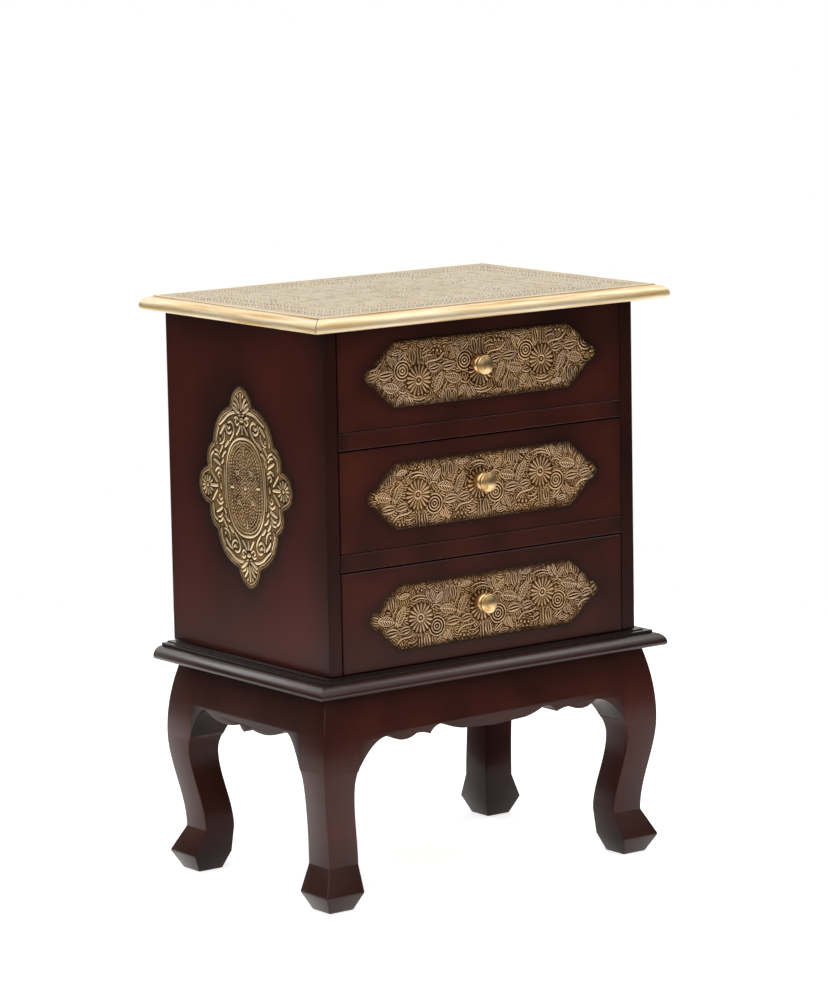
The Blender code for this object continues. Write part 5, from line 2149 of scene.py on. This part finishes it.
@dataclass
class Drawer:
    """One drawer: its shaded front, chased facing, knob and plain box."""

    number: int
    shift_x: float
    shift_z: float
    turned: bool
    plate_half: float = 0.150
    plate_half_height: float = 0.0345
    tip: float = 0.0121
    tip_rise: float = 0.0105
    corner: float = 0.0376
    tip_bulge: float = 0.0024
    slant_bulge: float = 0.0010
    slant_straight: float = 0.84  # share of the slant before its corner's rounding
    corner_round: float = 0.006
    edge_round: float = 0.0010
    pitch: float = 0.0032
    edge_places: tuple[float, ...] = (-1.0, -0.75, 0.0, 0.75, 1.0)  # across the facing
    edge_narrowing: tuple[float, ...] = (2.6, 1.6, 1.0, 0.62, 0.34)
    halo_near: Fade = Fade(0.40, 0.0035, 1.1)
    halo_far: Fade = Fade(0.36, 0.014, 1.5)
    # painted shade, as the light falls off towards the right end
    right_shade: float = 0.18  # what is added towards the right end
    border: Fade = Fade(0.35, 0.006, 1.2)

    def quarter(self) -> np.ndarray:
        """Draws a quarter of the facing's outline, from its tip up to its straight edge.

        Returns:
            Rows of two.
        """
        notch = (self.plate_half - self.tip, self.tip_rise)
        corner = (self.plate_half - self.corner, self.plate_half_height)
        before = tuple(a + self.slant_straight * (b - a) for a, b in zip(notch, corner))
        after = (corner[0] - self.corner_round, corner[1])
        rows = [bowed((self.plate_half, 0.0), notch, self.tip_bulge), bowed(notch, before, self.slant_bulge)]
        return np.vstack([*rows, cubic([before, corner, corner, after]), [after]])

    def stain_and_shade_edge(self, facing: Object, centre: Vector) -> None:
        """Widens the facing's stained edge on the right and narrows it on the left: spray stain, with painted
        shade as the light falls off to the right.

        Args:
            facing: the piece.
            centre: its middle.
        """
        inset = np.zeros(len(facing.data.vertices), dtype=np.float32)
        facing.data.attributes["edge_mm"].data.foreach_get("value", inset)
        across = (points_of(facing)[:, 0] - centre.x) / self.plate_half
        paint(facing, "edge_mm", inset * np.interp(across, self.edge_places, self.edge_narrowing))

    def dress_front(self, body: str, wood: Material) -> None:
        """Rounds the front and paints it darker round its facing and along its edges, and with painted shade
        towards its right end.

        Args:
            body: the drawer's body.
            wood: its finish.
        """
        node = f"{body}_front"
        low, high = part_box(node)
        obj = shaped(node, self.edge_round, self.pitch)
        x, _, z = points_of(obj).T
        halo = outside(np.abs(x), np.abs(z - middle_of(f"{body}_plate").z), self.quarter())
        half_x, half_z = (high[0] - low[0]) / 2, (high[2] - low[2]) / 2
        edge = np.minimum(half_x - np.abs(x), half_z - np.abs(z - (low[2] + high[2]) / 2))
        shade = self.halo_near.at(halo) + self.halo_far.at(halo)
        # painted shade towards the right end, where the light falls off
        shade += self.right_shade * np.clip(x / half_x, 0.0, 1.0) + self.border.at(edge)
        paint(obj, "spray_and_painted_shade", np.clip(shade, 0.0, 1.0))
        show(obj, wood, body, "stained_wood", node)

    def dress(
        self, wood: Material, plain: dict[Grain, Material], brass: Material, knob_brass: Material
    ) -> None:
        """Builds the drawer's pieces.

        Args:
            wood: the front's finish.
            plain: unfinished wood, by its grain.
            brass: the facing's finish.
            knob_brass: the knob's finish.
        """
        body = f"drawer{self.number}"
        self.dress_front(body, wood)
        centre = middle_of(f"{body}_plate")
        centre.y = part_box(f"{body}_front")[0][1]
        right, up = Vector((1.0, 0.0, 0.0)), Vector((0.0, 0.0, 1.0))
        sheet = ReliefSheet(f"{body}_plate.chased", centre, right, up, self.quarter(), columns=640, rows=146)
        foot = (middle_of(f"{body}_knob") - centre) / MM
        pattern = FlowerPattern(self.shift_x, self.shift_z, self.turned, foot.x, foot.z, self.number)
        facing = sheet.build(pattern)
        # the facing's stained edge, widened on the right with painted shade
        self.stain_and_shade_edge(facing, centre)
        show(facing, brass, body, "embossed_brass", f"{body}_plate")
        knob = Knob().build(f"{body}_knob.turned", f"{body}_knob")
        show(knob, knob_brass, body, "knob_brass", f"{body}_knob")
        for part, grain in (
            ("side_left", Grain.DEEP),
            ("side_right", Grain.DEEP),
            ("back", Grain.ACROSS),
            ("bottom", Grain.ACROSS),
        ):
            dress_plain(f"{body}_{part}", body, plain[grain])


@dataclass
class Studio:
    """A pale floor, soft light and the camera at the photo's angle."""

    focal_px: float = 4352.8
    picture_height_px: float = 993.0
    azimuth: float = -36.677
    elevation: float = 9.035
    roll: float = -1.067
    distance: float = 4.592
    aim_height: float = 0.305
    slide_right: float = 0.0042
    slide_up: float = 0.0849
    floor_radius: float = 1.5
    floor_near: float = 0.9  # out to here, lacquer mirrors the floor in full
    floor_mirrored: float = 1.45
    floor_lift: float = 0.68  # what the floor adds to its lit colour, to show white
    room_light: float = 0.42
    room_mirrored: float = 0.07  # the dim side of the room, as lacquer and metal mirror it
    backdrop: Span = (0.45, 0.90)  # from its edge to full white, as the cosine to the way behind
    ceiling: Span = (0.15, 0.60)  # the same, as the sine of the height

    def camera(self) -> None:
        """Sets the camera."""
        az, el, roll = (math.radians(v) for v in (self.azimuth, self.elevation, self.roll))
        back = Vector((math.sin(az) * math.cos(el), -math.cos(az) * math.cos(el), math.sin(el)))
        level = Vector((math.cos(az), math.sin(az), 0.0))
        over = back.cross(level)
        right = math.cos(roll) * level + math.sin(roll) * over
        up = math.cos(roll) * over - math.sin(roll) * level
        spot = Vector((0, 0, self.aim_height)) + back * self.distance
        spot += right * self.slide_right + up * self.slide_up
        lens = bpy.data.cameras.new("camera")
        lens.sensor_width = 36.0
        lens.lens = self.focal_px / self.picture_height_px * lens.sensor_width
        lens.clip_end = 50.0
        obj = bpy.data.objects.new("camera", lens)
        obj.matrix_world = Matrix.Translation(spot) @ Matrix((right, up, back)).transposed().to_4x4()
        bpy.context.scene.collection.objects.link(obj)
        bpy.context.scene.camera = obj

    def lamp(self, name: str, place: tuple[float, float, float], size: Span, watts: float) -> None:
        """Hangs a soft box that faces the middle of the object.

        Args:
            name: the lamp's name.
            place: where it hangs.
            size: its width and height.
            watts: its power.
        """
        light = bpy.data.lights.new(name, "AREA")
        light.shape = "RECTANGLE"
        light.size, light.size_y = size
        light.energy = watts
        obj = bpy.data.objects.new(name, light)
        obj.location = place
        aim = Vector((0.0, 0.0, self.aim_height)) - obj.location
        obj.rotation_euler = aim.to_track_quat("-Z", "Y").to_euler()
        bpy.context.scene.collection.objects.link(obj)

    def floor(self) -> None:
        """Lays a round pale floor that shows white to the camera and keeps a soft shadow."""
        bm = bmesh.new()
        bmesh.ops.create_circle(bm, cap_ends=True, radius=self.floor_radius, segments=96)
        obj = as_object("floor", bm)
        made, graph = new_material("pale_studio_floor")
        far = graph.add("VectorMath", "Value", {0: graph.place()}, operation="LENGTH")
        near = graph.spread(far, (self.floor_near, self.floor_radius), (self.floor_mirrored, 0.0))
        inputs = {
            "Base Color": linear("#F2F1EF"),
            "Roughness": 0.7,
            "Emission Color": WHITE,
            "Emission Strength": graph.math("MULTIPLY", graph.seen(near), self.floor_lift),
        }
        graph.shade(SHADER, inputs)
        obj.data.materials.append(made)

    def world(self) -> None:
        """Fills the room with soft light; metal mirrors its white backdrop and ceiling where they hang."""
        world = bpy.data.worlds.new("studio")
        world.use_nodes = True
        graph = Graph(world.node_tree)
        way = graph.add("TexCoord", "Generated")
        az = math.radians(self.azimuth)
        to_back = {0: way, 1: (-math.sin(az), math.cos(az), 0.0)}
        behind = graph.add("VectorMath", "Value", to_back, operation="DOT_PRODUCT")
        above = graph.add("SeparateXYZ", "Z", {"Vector": way})
        backdrop = graph.spread(behind, self.backdrop, smooth=True)
        white = graph.math("MAXIMUM", backdrop, graph.spread(above, self.ceiling, smooth=True))
        room = graph.spread(graph.shiny(), target=(self.room_light, self.room_mirrored))
        strength = graph.add("Mix", 0, {0: graph.seen(white), 2: room, 3: 1.0})
        graph.shade("Background", {"Color": WHITE, "Strength": strength})
        bpy.context.scene.world = world

    def build(self) -> None:
        """Sets up the studio."""
        bpy.context.scene.view_settings.view_transform = "Standard"
        self.camera()
        self.floor()
        self.world()
        self.lamp("overhead", (-0.3, -0.4, 2.8), (2.4, 2.4), 28.0)
        self.lamp("key", (-2.3, -1.7, 2.1), (2.4, 2.4), 27.0)
        self.lamp("rim", (-0.9, 2.4, 1.8), (1.5, 1.3), 15.0)
        self.lamp("right", (1.6, -0.5, 2.2), (1.0, 1.0), 7.5)
        self.lamp("fill", (-0.6, -3.2, 1.9), (2.4, 2.4), 11.0)


def main() -> None:
    """Builds the studio and dresses the nightstand."""
    logging.basicConfig(level=logging.INFO, format="%(name)s: %(message)s")
    Studio().build()
    wood, plain = {}, {}
    for grain in Grain:
        wood[grain] = LacqueredWood(f"lacquered_mahogany_{grain.name.lower()}", grain).material()
        plain[grain] = PlainWood(f"planed_hardwood_{grain.name.lower()}", grain).material()
    glossy = LacqueredWood("glossy_mahogany", Grain.ACROSS, "#3E1B14", "#2D140E", specular=0.46, coat=0.10)
    panel = LacqueredWood(
        "lacquered_panel", Grain.UPRIGHT, "#4F190E", "#38150D", specular=0.16, cloud_mm=110.0
    )
    chased = ChasedBrass("chased_brass_sheet").material()
    # a darker copy of the same brass, for the lowest facing
    darker_chased = ChasedBrass("darker_chased_brass", slope="#825B2B", ridge="#C8AE96").material()
    rubbed = ChasedBrass("rubbed_chased_brass", slope="#AC895F", ridge="#F0DCBC", stain_mm=6.4, yellow=0.5)
    pale = ChasedBrass(
        "pale_chased_brass", "#7C694C", "#C3B296", "#D6C9B2", stain="#6B5C48", stain_mm=0.7, yellow=0.15
    )
    edge_across = PolishedBrass("polished_brass_across").material()
    edge_deep = PolishedBrass("polished_brass_deep", grain=Grain.DEEP).material()
    lathed = PolishedBrass(
        "turned_brass", "#DCBE8E", "#C29A66", "#A98250", roughness=0.34, stretch=1.0, patch_mm=28.0
    )
    knob = lathed.material()
    steel = ZincSteel().material()
    Base().dress(wood[Grain.UPRIGHT], wood[Grain.ACROSS], wood[Grain.DEEP])
    WaistBoard().dress(glossy.material())
    medallion = Medallion()
    medallion.dress(rubbed.material())
    Carcass(medallion).dress(panel.material(), wood[Grain.ACROSS], plain)
    Top().dress(pale.material(), edge_across, edge_deep, wood[Grain.ACROSS])
    for drawer, brass in (
        (Drawer(1, 2.1, 4.7, True), chased),
        (Drawer(2, -5.6, 2.8, False), chased),
        (Drawer(3, -5.1, 0.8, False), darker_chased),
    ):
        drawer.dress(wood[Grain.ACROSS], plain, brass, knob)
    for name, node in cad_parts.items():
        if "screw" in name:
            node.data.materials.clear()
            node.data.materials.append(steel)
            LOG.info("%s: CAD screw, plated", name)


if __name__ == "__main__":
    main()
